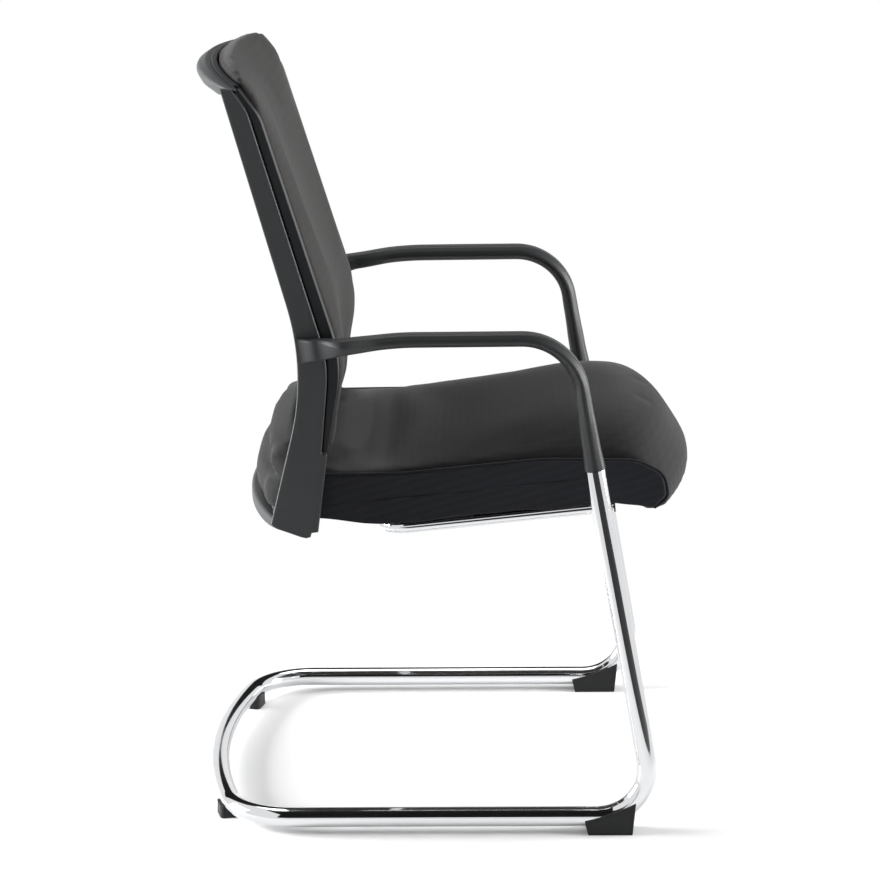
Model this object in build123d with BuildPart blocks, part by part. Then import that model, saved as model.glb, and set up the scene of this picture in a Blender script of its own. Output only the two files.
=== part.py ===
"""Cantilever visitor chair: a chromed sled frame, moulded armrests and back frame, and an
upholstered seat and back, as separate pieces in one shared frame.

+X is the front of the chair, +Y the sitter's left and +Z up. The origin lies on the floor,
under the middle of the chair. Lengths are in millimetres and angles in degrees.
"""

import os
from math import asin, cos, degrees, radians, sin, sqrt, tan

from build123d import *

os.makedirs("parts", exist_ok=True)

# Sled frame: runners, leaning uprights and a rear tube that bows backwards
tube_od = 25.0
tube_wall = 2.0
runner_clear = 7.5
front_corner_x = 264.0
upright_lean = 9.8
front_bend_r = 62.0
upright_top_z = 467.0
rear_mid_x = -296.5
rear_bow_r = 800.0
rear_corner_r = 85.0
runner_joint_x = -176.0
upright_gap = 32.5

# Seat rail: a U of thinner tube, tilted with the seat and joined to the uprights by stubs
rail_od = 20.0
rail_wall = 2.0
rail_set_in = 9.0
rail_tilt = 5.9
rail_mid_z = 383.0
rail_rear_u = -70.0
rail_corner_r = 30.0
rail_overrun = 14.0
stub_d = 14.0
plug_flange_t = 2.0
plug_length = 14.0

# Seat: pan, cushion, side panels and welt, along the rail (u) and square to it (w)
seat_width = 440.0
pan_side_gap = 6.0
pan_t = 11.0
pan_knee_u = -76.0
pan_rear_u = -209.0
pan_kick = 9.0
pan_front_u = 226.0
pan_nose_u = 258.0
pan_nose_drop = 8.0
pan_corner_r = 35.0
pan_bend_r = 60.0
saddle_t = 4.0
saddle_length = 40.0
saddle_width = 17.0
seat_hem = 5.0
seat_rear_hem = 2.0
side_panel_t = 6.0
side_panel_bevel = 4.0
side_panel_inset = 1.5
welt_d = 4.4
seat_rear_u = -200.0
seat_front_u = 280.4
seat_crest_u = 132.0
seat_dip_u = -58.0
seat_crest_h = 62.0
seat_dip_h = 64.0
seat_rear_h = 84.0
seat_nose_h = 36.0
seat_lip_drop = 20.0
seat_crown = 18.0
seat_rear_crown = 4.0
seat_nose_swell = 37.0
seat_rear_swell = 41.0
seat_seam_depth = 8.0
seat_roll_step = 18.0
seat_seam_share = 0.6
seat_roll_r = 12.0
seat_seam_r = 2.0
seat_hem_r = 120.0
seat_lip_r = 18.0
seat_nose_r = 24.0
seat_top_r = 300.0

# Armrests: from the uprights over one bend to an end plate on the legs of the back
arm_top_z = 628.0
arm_bend_r = 47.0
arm_sag_r = 400.0
arm_fall = 1.0
arm_end_z = 610.0
arm_width = 36.0
arm_t = 20.0
arm_plate_t = 7.0
arm_plate_h = 30.0
spigot_length = 55.0

# Back: frame with two legs, top rail and crossbar, then carrier, support panel and pad
leg_t = 14.0
leg_knee_x = -135.0
leg_knee_depth = 27.0
leg_knee_below_arm = 17.0
leg_front_bend_r = 170.0
leg_rear_bend_r = 320.0
leg_top_depth = 20.0
leg_foot_depth = 54.0
leg_foot_back = 20.0
leg_toe = 12.0
leg_toe_rise = 6.0
leg_heel = 14.0
leg_heel_rise = 5.0
leg_small_rs = (1.0, 2.0, 60.0, 4.0)
leg_heel_rs = (4.0, 10.0)
leg_rear_knee_drop = 9.0
leg_below_rail = 10.0
back_lean = 16.5
back_top_z = 959.0
back_bow = 20.0
top_rail_h = 46.0
top_rail_depth = 22.0
top_rail_drop = 24.0
leg_top_drop = 6.0
top_rail_bow = 42.0
top_rail_lip = 11.0
top_rail_set_back = 9.0
top_rail_fall = 4.0
top_rail_rs = (2.0, 10.0, 7.0, 8.0, 4.0, 2.0)
crossbar_depth = 36.0
crossbar_h = 18.0
crossbar_bow = 47.0
crossbar_edge_r = 5.0
carrier_depth_top = 12.0
carrier_depth_knee = 16.0
carrier_depth_low = 7.0
stile_set_in = 6.0
stile_width = 12.0
carrier_back = 12.0
carrier_rail_h = 16.0
pad_low_z = 477.0
pad_puff = 8.0
pad_arch = 12.0
pad_corner_drop = 14.0
pad_top_r = 16.0
pad_edge_r = 1.5
pad_top_fall = 4.0
pad_over_rail = 4.0
panel_t = 4.0
panel_top_z = 884.0

# Glides under the tubes
glide_width = 30.0
front_glide_length = 55.0
front_glide_toe = 40.0
front_glide_heel = 16.0
rear_glide_length = 32.0
rear_glide_h = 16.0
toe_lean = 4.0
glide_wear = 1.0

# Fasteners
bolt_d = 6.0
bolt_head_d = 11.0
bolt_head_h = 4.0
tee_nut_d = 8.4
tee_flange_d = 18.0
tee_flange_t = 1.5
washer_d = 16.0
washer_t = 3.0
seat_washer_d = 13.0
seat_washer_w = 3.0
screw_d = 4.0
screw_head_d = 8.0
screw_head_h = 3.0
glide_screw_length = 14.0
head_sink = 1.0
seat_bolt_us = (20.0, 150.0)
back_bolt_reach = 11.0
carrier_screw_zs = (545.0, 700.0, 850.0)
back_bolt_set_ins = (24.0, 58.0)
panel_screw_set_ins = (36.0, 146.0)
carrier_screw_reach = 11.0
arm_screw_reach = 5.0
arm_screw_spacing = 14.0
arm_screw_from_end = 12.0

# Clearances
fit = 0.2
soft_fit = 0.3
frame_gap = 0.5
leg_gap = 2.0
leg_step_gap = 3.0

# Worked out from the sizes above
seat_half = seat_width / 2
half_track = seat_half + upright_gap + tube_od / 2
runner_z = runner_clear + tube_od / 2
tube_bore = tube_od - 2 * tube_wall
lean_slope = tan(radians(upright_lean))
tilt = radians(rail_tilt)
sides = ((1, "left"), (-1, "right"))


def side_plane(y):
    """Upright plane across the chair at y, with X forward and Y up."""
    return Plane(origin=(0, y, 0), x_dir=(1, 0, 0), z_dir=(0, -1, 0))


def seat_side_plane(y):
    """Upright plane at y that is tilted with the rail: u forward along it, w square to it."""
    return Plane(origin=(0, y, rail_mid_z), x_dir=(cos(tilt), 0, sin(tilt)), z_dir=(0, -1, 0))


def seat_point(u, y, w):
    """World point of a place given along the rail, across the chair and square to the rail."""
    return (u * cos(tilt) - w * sin(tilt), y, rail_mid_z + u * sin(tilt) + w * cos(tilt))


def seat_level(u, y, w):
    """Plane parallel to the rail through such a point."""
    return Plane(origin=seat_point(u, y, w), x_dir=(cos(tilt), 0, sin(tilt)),
                 z_dir=(-sin(tilt), 0, cos(tilt)))


def upright_x(z):
    """Where the centre line of an upright is at height z."""
    return front_corner_x - (z - runner_z) * lean_slope


# Rear tube: two corner bends, tangent to the runners and to the bow between them
bow_angle = asin((half_track - rear_corner_r) / (rear_bow_r - rear_corner_r))
bow_end = (rear_mid_x + rear_bow_r * (1 - cos(bow_angle)), rear_bow_r * sin(bow_angle))
corner_centre = (bow_end[0] + rear_corner_r * cos(bow_angle), half_track - rear_corner_r)
corner_turn = radians(135) - bow_angle / 2
corner_mid = (corner_centre[0] + rear_corner_r * cos(corner_turn),
              corner_centre[1] + rear_corner_r * sin(corner_turn))
front_tangent_x = front_corner_x - front_bend_r * tan(radians(90 + upright_lean) / 2)
glide_screw_xy = ((front_tangent_x, half_track), bow_end)

# Rail and seat levels, square to the rail
cushion_half = seat_half - side_panel_t
pan_half = cushion_half - pan_side_gap
rail_half = pan_half - rail_set_in
stub_u = ((front_corner_x - (rail_mid_z - runner_z) * lean_slope)
          / (cos(tilt) + sin(tilt) * lean_slope))
rail_front_u = stub_u + rail_overrun
pan_w = rail_od / 2 + saddle_t
hem_w = pan_w - seat_hem
pan_kick_slope = tan(radians(pan_kick))
kick_tilt = tilt - radians(pan_kick)

# Legs of the back frame, seen from the side
leg_in = seat_half + leg_gap
leg_out = leg_in + leg_t
knee_z = arm_end_z - leg_knee_below_arm
back_slope = tan(radians(back_lean))
rail_top_z = back_top_z - top_rail_drop
leg_top_z = rail_top_z - leg_top_drop
leg_top_x = leg_knee_x - (leg_top_z - knee_z) * back_slope
foot_z = rail_mid_z - leg_below_rail
foot_x = leg_knee_x - leg_foot_back
low_slope = leg_foot_back / (knee_z - foot_z)


def leg_front_x(z):
    """Front line of a leg at height z, with its bend taken as sharp."""
    if z > knee_z:
        return leg_knee_x - (z - knee_z) * back_slope
    return leg_knee_x - (knee_z - z) * low_slope


def swell(share):
    """How far a padded face has risen at a share of the half width: 0 at the edge, 1 inside."""
    return sqrt(max(0.0, 1 - share**4))


# Side tubes of the sled
def side_tube_path(side):
    """Centre line of a side tube: down the upright, round the bend, back along the runner."""
    return FilletPolyline(
        (upright_x(upright_top_z), side * half_track, upright_top_z),
        (front_corner_x, side * half_track, runner_z),
        (runner_joint_x, side * half_track, runner_z),
        radius=front_bend_r,
    )


def rear_tube_path():
    """Centre line of the rear tube, from the left runner round to the right one."""
    cx, cy = corner_centre
    left = Line((runner_joint_x, half_track, runner_z), (cx, half_track, runner_z))
    ThreePointArc(left @ 1, (*corner_mid, runner_z), (*bow_end, runner_z))
    ThreePointArc((*bow_end, runner_z), (rear_mid_x, 0, runner_z),
                  (bow_end[0], -bow_end[1], runner_z))
    ThreePointArc((bow_end[0], -bow_end[1], runner_z), (corner_mid[0], -corner_mid[1], runner_z),
                  (cx, -half_track, runner_z))
    Line((cx, -half_track, runner_z), (runner_joint_x, -half_track, runner_z))


upright_axis = Vector(-sin(radians(upright_lean)), 0, cos(radians(upright_lean)))
lock_screw_z = upright_top_z - spigot_length / 2

for side, hand in sides:
    with BuildPart() as side_tube:
        with BuildLine() as path:
            side_tube_path(side)
        with BuildSketch(Plane(origin=path.line @ 0, z_dir=path.line % 0)):
            Circle(tube_od / 2)
            Circle(tube_bore / 2, mode=Mode.SUBTRACT)
        sweep()
        with Locations((front_tangent_x, side * half_track, runner_clear)):
            Cylinder(screw_d / 2 + fit, 3 * tube_wall, mode=Mode.SUBTRACT)
        with BuildSketch(side_plane(side * (half_track - tube_od / 2 - tube_wall))):
            with Locations((upright_x(lock_screw_z), lock_screw_z)):
                Circle(bolt_d / 2 + fit)
        extrude(amount=-side * tube_od / 2, mode=Mode.SUBTRACT)
    side_tube.part.label = f"side_tube_{hand}"
    export_step(side_tube.part, f"parts/side_tube_{hand}.step")

with BuildPart() as rear_tube:
    with BuildLine() as path:
        rear_tube_path()
    with BuildSketch(Plane(origin=path.line @ 0, z_dir=path.line % 0)):
        Circle(tube_od / 2)
        Circle(tube_bore / 2, mode=Mode.SUBTRACT)
    sweep()
    with Locations(*[(bow_end[0], side * bow_end[1], runner_clear) for side, hand in sides]):
        Cylinder(screw_d / 2 + fit, 3 * tube_wall, mode=Mode.SUBTRACT)
rear_tube.part.label = "rear_tube"
export_step(rear_tube.part, "parts/rear_tube.step")

# Seat rail with its stubs, and the plugs in its open front ends
with BuildPart() as seat_rail:
    with BuildLine(seat_level(0, 0, 0)) as path:
        FilletPolyline((rail_front_u, rail_half), (rail_rear_u, rail_half),
                       (rail_rear_u, -rail_half), (rail_front_u, -rail_half),
                       radius=rail_corner_r)
    rail_end = Plane(origin=path.line @ 0, z_dir=path.line % 0)
    with BuildSketch(rail_end):
        Circle(rail_od / 2)
    sweep()
    with BuildSketch(seat_side_plane(-half_track)):
        with Locations((stub_u, 0)):
            Circle(stub_d / 2)
    extrude(amount=-2 * half_track)
    with BuildSketch(seat_side_plane(-rail_half)):
        with Locations((stub_u, 0)):
            Circle(stub_d / 2 + rail_od)
    extrude(amount=-2 * rail_half, mode=Mode.SUBTRACT)
    with BuildSketch(rail_end):
        Circle(rail_od / 2)
    sweep(path=path.line)
    for side, hand in sides:
        with BuildSketch(Plane(origin=(upright_x(0), side * half_track, 0), z_dir=upright_axis)):
            Circle(tube_od / 2 + fit)
        extrude(amount=2 * rail_mid_z, mode=Mode.SUBTRACT)
    with BuildSketch(rail_end):
        Circle(rail_od / 2 - rail_wall)
    sweep(path=path.line, mode=Mode.SUBTRACT)
    with BuildSketch(seat_level(0, 0, -rail_od)):
        with Locations(*[(u, side * rail_half) for u in seat_bolt_us for side, hand in sides]):
            Circle(bolt_d / 2 + fit)
    extrude(amount=2 * rail_od, mode=Mode.SUBTRACT)
    with BuildSketch(seat_level(0, 0, -rail_od)):
        with Locations(*[(u, side * rail_half) for u in seat_bolt_us for side, hand in sides]):
            Circle(seat_washer_d / 2 + fit)
    extrude(amount=rail_od, mode=Mode.SUBTRACT)
seat_rail.part.label = "seat_rail"
export_step(seat_rail.part, "parts/seat_rail.step")

with BuildPart() as rail_plugs:
    for side, hand in sides:
        plug_base = Plane(origin=seat_point(rail_front_u, side * rail_half, 0),
                          z_dir=(cos(tilt), 0, sin(tilt)))
        with BuildSketch(plug_base):
            Circle(rail_od / 2)
        extrude(amount=plug_flange_t)
        with BuildSketch(plug_base):
            Circle(rail_od / 2 - rail_wall - fit)
        extrude(amount=-plug_length)
rail_plugs.part.label = "rail_plugs"
export_step(rail_plugs.part, "parts/rail_plugs.step")

# Seat pan: moulded plywood, kicked up behind its knee and dropped at the nose
pan_corners = [
    (pan_rear_u, pan_w + (pan_knee_u - pan_rear_u) * pan_kick_slope),
    (pan_knee_u, pan_w),
    (pan_front_u, pan_w),
    (pan_nose_u, pan_w - pan_nose_drop),
]
back_bolt_spots = [side * (pan_half - inset) for inset in back_bolt_set_ins
                   for side, hand in sides]
back_bolt_u = pan_rear_u + back_bolt_reach
kick_cos = cos(radians(pan_kick))


def kick_level(u, y, w):
    """Plane on the kicked-up rear of the pan, at u along the rail, w above the underside."""
    foot = Vector(seat_point(u, y, pan_w + (pan_knee_u - u) * pan_kick_slope))
    normal = Vector(-sin(kick_tilt), 0, cos(kick_tilt))
    return Plane(origin=foot + normal * w, x_dir=(cos(kick_tilt), 0, sin(kick_tilt)), z_dir=normal)


def pan_profile(thickness, reach, ends):
    """Side view of the pan: its underside line, lowered by reach, and its thickness."""
    low = [(u, w - reach) for u, w in pan_corners]
    high = [(u, w + thickness) for u, w in pan_corners]
    low[0] = (low[0][0] - ends, low[0][1])
    high[0] = (high[0][0] - ends, high[0][1])
    low[-1] = (low[-1][0] + ends, low[-1][1])
    high[-1] = (high[-1][0] + ends, high[-1][1])
    under = FilletPolyline(*low, radius=pan_bend_r)
    over = FilletPolyline(*high, radius=pan_bend_r)
    Line(under @ 0, over @ 0)
    Line(under @ 1, over @ 1)


with BuildPart() as seat_pan:
    with BuildSketch(seat_side_plane(pan_half)):
        with BuildLine():
            pan_profile(pan_t, 0, 0)
        make_face()
    extrude(amount=2 * pan_half)
    with BuildSketch(seat_level((pan_rear_u + pan_nose_u) / 2, 0, -seat_width)):
        RectangleRounded(pan_nose_u - pan_rear_u, 2 * pan_half, pan_corner_r)
    extrude(amount=2 * seat_width, mode=Mode.INTERSECT)
    with BuildSketch(seat_level(0, 0, pan_w)):
        with Locations(*[(u, side * rail_half) for u in seat_bolt_us for side, hand in sides]):
            Circle(tee_nut_d / 2 + fit)
    extrude(amount=pan_t, mode=Mode.SUBTRACT)
    with BuildSketch(seat_level(0, 0, pan_w + pan_t - tee_flange_t)):
        with Locations(*[(u, side * rail_half) for u in seat_bolt_us for side, hand in sides]):
            Circle(tee_flange_d / 2 + fit)
    extrude(amount=tee_flange_t, mode=Mode.SUBTRACT)
    for y in back_bolt_spots:
        with BuildSketch(kick_level(back_bolt_u, y, 0)):
            Circle(tee_nut_d / 2 + fit)
        extrude(amount=pan_t, mode=Mode.SUBTRACT)
        with BuildSketch(kick_level(back_bolt_u, y, pan_t * kick_cos - tee_flange_t)):
            Circle(tee_flange_d / 2 + fit)
        extrude(amount=pan_t, mode=Mode.SUBTRACT)
seat_pan.part.label = "seat_pan"
export_step(seat_pan.part, "parts/seat_pan.step")

# Seat cushion: lofted across the chair, with crown, waterfall front and two rear rolls
def cushion_corners(share):
    """Side outline of the cushion at a share of its half width, with its corner radii.

    The top rises by the swell; nose and rear rolls follow a parabola in plan.
    """
    rise, bulge = swell(share), 1 - share**2
    front = seat_front_u + seat_nose_swell * bulge
    rear = seat_rear_u - seat_rear_swell * bulge
    upper_rear = rear + seat_seam_depth / 2 + seat_roll_step * bulge
    seam = upper_rear + seat_seam_depth * (0.3 + bulge)
    crest = pan_w + seat_crest_h + seat_crown * rise
    dip = pan_w + seat_dip_h + seat_rear_crown * rise
    rear_top = pan_w + seat_rear_h + seat_rear_crown * rise
    nose = pan_w + seat_nose_h + seat_crown * rise
    rear_hem = pan_w + (pan_knee_u - rear) * pan_kick_slope - seat_rear_hem
    roll_h = rear_top - rear_hem
    seam_w = rear_hem + seat_seam_share * roll_h
    corners = [
        (rear, rear_hem), (pan_knee_u, hem_w), (pan_front_u - rail_overrun, hem_w),
        (front - welt_d, hem_w - seat_lip_drop), (front, nose),
        (seat_crest_u, crest), (seat_dip_u, dip), (upper_rear, rear_top),
        (seam, seam_w), (rear, seam_w - seat_seam_depth),
    ]
    radii = [seat_roll_r, seat_hem_r, seat_hem_r, seat_lip_r, seat_nose_r + seat_crown * rise,
             seat_top_r, seat_top_r, seat_roll_r, seat_seam_r, seat_roll_r]
    return corners, radii


seat_stations = (1.0, 0.985, 0.95, 0.88, 0.76, 0.5, 0.0)
stations = [*[-s for s in seat_stations], *reversed(seat_stations[:-1])]

with BuildPart() as seat_cushion:
    for share in stations:
        outline, radii = cushion_corners(share)
        with BuildSketch(seat_side_plane(share * cushion_half)):
            with BuildLine():
                FilletPolyline(*outline, radius=radii, close=True)
            make_face()
    loft(ruled=True)
    with BuildSketch(seat_side_plane(pan_half + soft_fit)):
        with BuildLine():
            pan_profile(pan_t + soft_fit, 3 * pan_t, soft_fit)
        make_face()
    extrude(amount=2 * (pan_half + soft_fit), mode=Mode.SUBTRACT)
seat_cushion.part.label = "seat_cushion"
export_step(seat_cushion.part, "parts/seat_cushion.step")


def panel_corners(inset):
    """Outline of a seat side panel, drawn in from the cushion's own side by inset."""
    outline, radii = cushion_corners(1.0)
    u_mid = (seat_rear_u + seat_front_u) / 2
    w_mid = hem_w + seat_crest_h / 2
    drawn = [(u - inset * (1 if u > u_mid else -1) * (abs(u - u_mid) > u_mid + seat_crest_u),
              w - inset * (1 if w > w_mid else -1)) for u, w in outline[:8]]
    return drawn, radii[:8]


for side, hand in sides:
    with BuildPart() as seat_side_panel:
        for depth, inset in ((soft_fit, side_panel_inset),
                             (side_panel_t, side_panel_inset + side_panel_bevel)):
            outline, radii = panel_corners(inset)
            with BuildSketch(seat_side_plane(side * (cushion_half + depth))):
                with BuildLine():
                    FilletPolyline(*outline, radius=radii, close=True)
                make_face()
        loft(ruled=True)
    seat_side_panel.part.label = f"seat_side_panel_{hand}"
    export_step(seat_side_panel.part, f"parts/seat_side_panel_{hand}.step")

with BuildPart() as seat_welt:
    outline, radii = cushion_corners(1.0)
    run = [*reversed(outline[4:8])]
    front_low = outline[3]
    run.append(((run[-1][0] + front_low[0]) / 2, (run[-1][1] + front_low[1]) / 2))
    for side, hand in sides:
        with BuildLine(seat_side_plane(side * (cushion_half + welt_d / 2 + soft_fit))) as path:
            FilletPolyline(*run, radius=[radii[6], radii[5], radii[4]])
        with BuildSketch(Plane(origin=path.line @ 0, z_dir=path.line % 0)):
            Circle(welt_d / 2)
        sweep(path=path.line)
seat_welt.part.label = "seat_welt"
export_step(seat_welt.part, "parts/seat_welt.step")

# Fasteners of the seat: bolts from inside the rail, past access holes, into tee nuts in the pan
seat_bolt_spots = [(u, side * rail_half) for u in seat_bolt_us for side, hand in sides]

with BuildPart() as rail_saddles:
    for u, y in seat_bolt_spots:
        with BuildSketch(seat_level(u, y, 0)):
            Rectangle(saddle_length, saddle_width)
        extrude(amount=pan_w)
    for side, hand in sides:
        with BuildSketch(Plane(origin=seat_point(rail_rear_u, side * rail_half, 0),
                               z_dir=(cos(tilt), 0, sin(tilt)))):
            Circle(rail_od / 2 + fit)
        extrude(amount=2 * rail_front_u, mode=Mode.SUBTRACT)
    for u, y in seat_bolt_spots:
        with BuildSketch(seat_level(u, y, 0)):
            Circle(bolt_d / 2 + fit)
        extrude(amount=pan_w, mode=Mode.SUBTRACT)
rail_saddles.part.label = "rail_saddles"
export_step(rail_saddles.part, "parts/rail_saddles.step")

with BuildPart() as seat_bolt_washers:
    for side, hand in sides:
        with BuildSketch(Plane(origin=seat_point(rail_rear_u, side * rail_half, 0),
                               z_dir=(cos(tilt), 0, sin(tilt)))):
            Circle(rail_od / 2 - rail_wall - fit)
        extrude(amount=2 * rail_front_u)
    with BuildSketch(seat_level(0, 0, seat_washer_w)):
        with Locations(*seat_bolt_spots):
            Circle(seat_washer_d / 2)
            Circle(bolt_d / 2 + fit, mode=Mode.SUBTRACT)
    extrude(amount=rail_od, mode=Mode.INTERSECT)
seat_bolt_washers.part.label = "seat_bolt_washers"
export_step(seat_bolt_washers.part, "parts/seat_bolt_washers.step")

with BuildPart() as seat_bolts:
    for u, y in seat_bolt_spots:
        with BuildSketch(seat_level(u, y, seat_washer_w)):
            Circle(bolt_head_d / 2)
        extrude(amount=-bolt_head_h)
        with BuildSketch(seat_level(u, y, seat_washer_w)):
            Circle(bolt_d / 2)
        extrude(amount=pan_w + pan_t - seat_washer_w - tee_flange_t)
seat_bolts.part.label = "seat_bolts"
export_step(seat_bolts.part, "parts/seat_bolts.step")

with BuildPart() as seat_tee_nuts:
    for u, y in seat_bolt_spots:
        with BuildSketch(seat_level(u, y, pan_w)):
            Circle(tee_nut_d / 2)
        extrude(amount=pan_t)
        with BuildSketch(seat_level(u, y, pan_w + pan_t)):
            Circle(tee_flange_d / 2)
        extrude(amount=-tee_flange_t)
        with BuildSketch(seat_level(u, y, pan_w)):
            Circle(bolt_d / 2 + fit)
        extrude(amount=pan_t, mode=Mode.SUBTRACT)
seat_tee_nuts.part.label = "seat_tee_nuts"
export_step(seat_tee_nuts.part, "parts/seat_tee_nuts.step")

# Glides and the screws that hold them up against the tubes
front_glide_rear_x = front_tangent_x - front_glide_length / 5
front_glide_front_x = front_glide_rear_x + front_glide_length
screw_seat_z = screw_head_h + glide_wear

for side, hand in sides:
    with BuildPart() as front_glide:
        with BuildSketch(side_plane(side * half_track + glide_width / 2)):
            with BuildLine():
                Polyline((front_glide_rear_x, 0), (front_glide_front_x, 0),
                         (front_glide_front_x + toe_lean, front_glide_toe),
                         (front_glide_rear_x - toe_lean, front_glide_heel), close=True)
            make_face()
        extrude(amount=glide_width)
        with BuildLine() as path:
            side_tube_path(side)
        with BuildSketch(Plane(origin=path.line @ 0, z_dir=path.line % 0)):
            Circle(tube_od / 2 + fit)
        sweep(path=path.line, mode=Mode.SUBTRACT)
        with BuildSketch(Plane.XY):
            with Locations((front_tangent_x, side * half_track)):
                Circle(screw_d / 2 + fit)
        extrude(amount=front_glide_toe, mode=Mode.SUBTRACT)
        with BuildSketch(Plane.XY):
            with Locations((front_tangent_x, side * half_track)):
                Circle(screw_head_d / 2 + fit)
        extrude(amount=screw_seat_z, mode=Mode.SUBTRACT)
    front_glide.part.label = f"front_glide_{hand}"
    export_step(front_glide.part, f"parts/front_glide_{hand}.step")

    rear_spot = Plane(origin=(bow_end[0], side * bow_end[1], 0),
                      x_dir=(sin(bow_angle), side * cos(bow_angle), 0), z_dir=(0, 0, 1))
    with BuildPart() as rear_glide:
        with BuildSketch(rear_spot):
            RectangleRounded(rear_glide_length, glide_width, glide_width / 5)
        extrude(amount=rear_glide_h)
        with BuildLine() as path:
            rear_tube_path()
        with BuildSketch(Plane(origin=path.line @ 0, z_dir=path.line % 0)):
            Circle(tube_od / 2 + fit)
        sweep(path=path.line, mode=Mode.SUBTRACT)
        with BuildSketch(rear_spot):
            Circle(screw_d / 2 + fit)
        extrude(amount=rear_glide_h, mode=Mode.SUBTRACT)
        with BuildSketch(rear_spot):
            Circle(screw_head_d / 2 + fit)
        extrude(amount=screw_seat_z, mode=Mode.SUBTRACT)
    rear_glide.part.label = f"rear_glide_{hand}"
    export_step(rear_glide.part, f"parts/rear_glide_{hand}.step")

with BuildPart() as glide_screws:
    for x, y in [(x, side * y) for x, y in glide_screw_xy for side, hand in sides]:
        with BuildSketch(Plane(origin=(x, y, screw_seat_z))):
            Circle(screw_head_d / 2)
        extrude(amount=-screw_head_h)
        with BuildSketch(Plane(origin=(x, y, screw_seat_z))):
            Circle(screw_d / 2)
        extrude(amount=glide_screw_length)
glide_screws.part.label = "glide_screws"
export_step(glide_screws.part, "parts/glide_screws.step")

# Armrests: lofted along the upright, round the bend and back to the leg
arm_end_x = leg_knee_x - leg_knee_depth - arm_plate_h / 3
arm_break_x = (arm_end_x + upright_x(arm_top_z)) / 8 - arm_width * 1.5
plate_in = leg_out + fit
plate_shift = half_track - plate_in - arm_plate_t / 2
arm_screw_x = arm_end_x + arm_screw_from_end
arm_screw_zs = (arm_end_z - arm_screw_spacing / 2, arm_end_z + arm_screw_spacing / 2)
arm_neck = 0.78 * arm_width

# Share of the way along, height of the section, its width, and its shift towards the leg
arm_sections = (
    (0.0, tube_od, tube_od, 0.0),
    (0.07, 1.1 * arm_t, 0.72 * arm_width, 0.0),
    (0.17, arm_t, arm_neck, 0.0),
    (0.255, arm_t, 0.87 * arm_width, 0.0),
    (0.29, arm_t, 0.9 * arm_width, 0.0),
    (0.325, arm_t, 0.93 * arm_width, 0.0),
    (0.36, arm_t, 0.95 * arm_width, 0.0),
    (0.395, arm_t, 0.97 * arm_width, 0.0),
    (0.58, arm_t, arm_width, 0.0),
    (0.78, arm_t, 0.95 * arm_width, 0.0),
    (0.87, arm_t, arm_neck, 0.15 * plate_shift),
    (0.94, (arm_t + arm_plate_h) / 2, 2 * arm_plate_t, 0.55 * plate_shift),
    (1.0, arm_plate_h, arm_plate_t, plate_shift),
)

with BuildPart() as armrest_left:
    with BuildLine(side_plane(half_track)) as path:
        FilletPolyline((upright_x(upright_top_z), upright_top_z),
                       (upright_x(arm_top_z), arm_top_z), (arm_break_x, arm_top_z - arm_fall),
                       (arm_end_x, arm_end_z), radius=[arm_bend_r, arm_sag_r])
    way = path.wire()
    for share, height, width, shift in arm_sections:
        run = share * way.length
        spot = way.position_at(run, PositionMode.LENGTH) - Vector(0, shift, 0)
        heading = way.tangent_at(run, PositionMode.LENGTH)
        with BuildSketch(Plane(origin=spot, x_dir=(0, 1, 0), z_dir=heading)):
            RectangleRounded(width, height, 0.49 * min(width, height))
    loft(ruled=True)
    with BuildSketch(Plane.XZ):
        with Locations((arm_end_x, arm_end_z)):
            Rectangle(2 * (arm_break_x - arm_end_x), 2 * arm_plate_h)
    extrude(amount=plate_in, both=True, mode=Mode.SUBTRACT)
    with BuildSketch(Plane(origin=path.line @ 0, z_dir=path.line % 0)):
        Circle(tube_bore / 2 - fit)
    extrude(amount=-spigot_length)
    with BuildSketch(side_plane(half_track - tube_od / 2)):
        with Locations((upright_x(lock_screw_z), lock_screw_z)):
            Circle(bolt_d / 2 + fit)
    extrude(amount=-tube_od / 2, mode=Mode.SUBTRACT)
    with BuildSketch(side_plane(leg_in)):
        with Locations(*[(arm_screw_x, z) for z in arm_screw_zs]):
            Circle(bolt_d / 2 + fit)
    extrude(amount=-leg_t - arm_screw_reach - fit, mode=Mode.SUBTRACT)
armrest_left.part.label = "armrest_left"
export_step(armrest_left.part, "parts/armrest_left.step")

with BuildPart() as armrest_right:
    mirror(armrest_left.part, about=Plane.XZ)
armrest_right.part.label = "armrest_right"
export_step(armrest_right.part, "parts/armrest_right.step")

with BuildPart() as arm_lock_screws:
    for side, hand in sides:
        for radius, amount in ((bolt_head_d / 2, bolt_head_h), (bolt_d / 2, -tube_od / 2 + fit)):
            with BuildSketch(side_plane(side * (half_track - tube_od / 2))):
                with Locations((upright_x(lock_screw_z), lock_screw_z)):
                    Circle(radius)
            extrude(amount=side * amount)
arm_lock_screws.part.label = "arm_lock_screws"
export_step(arm_lock_screws.part, "parts/arm_lock_screws.step")

with BuildPart() as arm_back_screws:
    for side, hand in sides:
        for radius, amount in ((bolt_head_d / 2, bolt_head_h),
                               (bolt_d / 2, -leg_t - arm_screw_reach)):
            with BuildSketch(side_plane(side * leg_in)):
                with Locations(*[(arm_screw_x, z) for z in arm_screw_zs]):
                    Circle(radius)
            extrude(amount=side * amount)
arm_back_screws.part.label = "arm_back_screws"
export_step(arm_back_screws.part, "parts/arm_back_screws.step")

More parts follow.
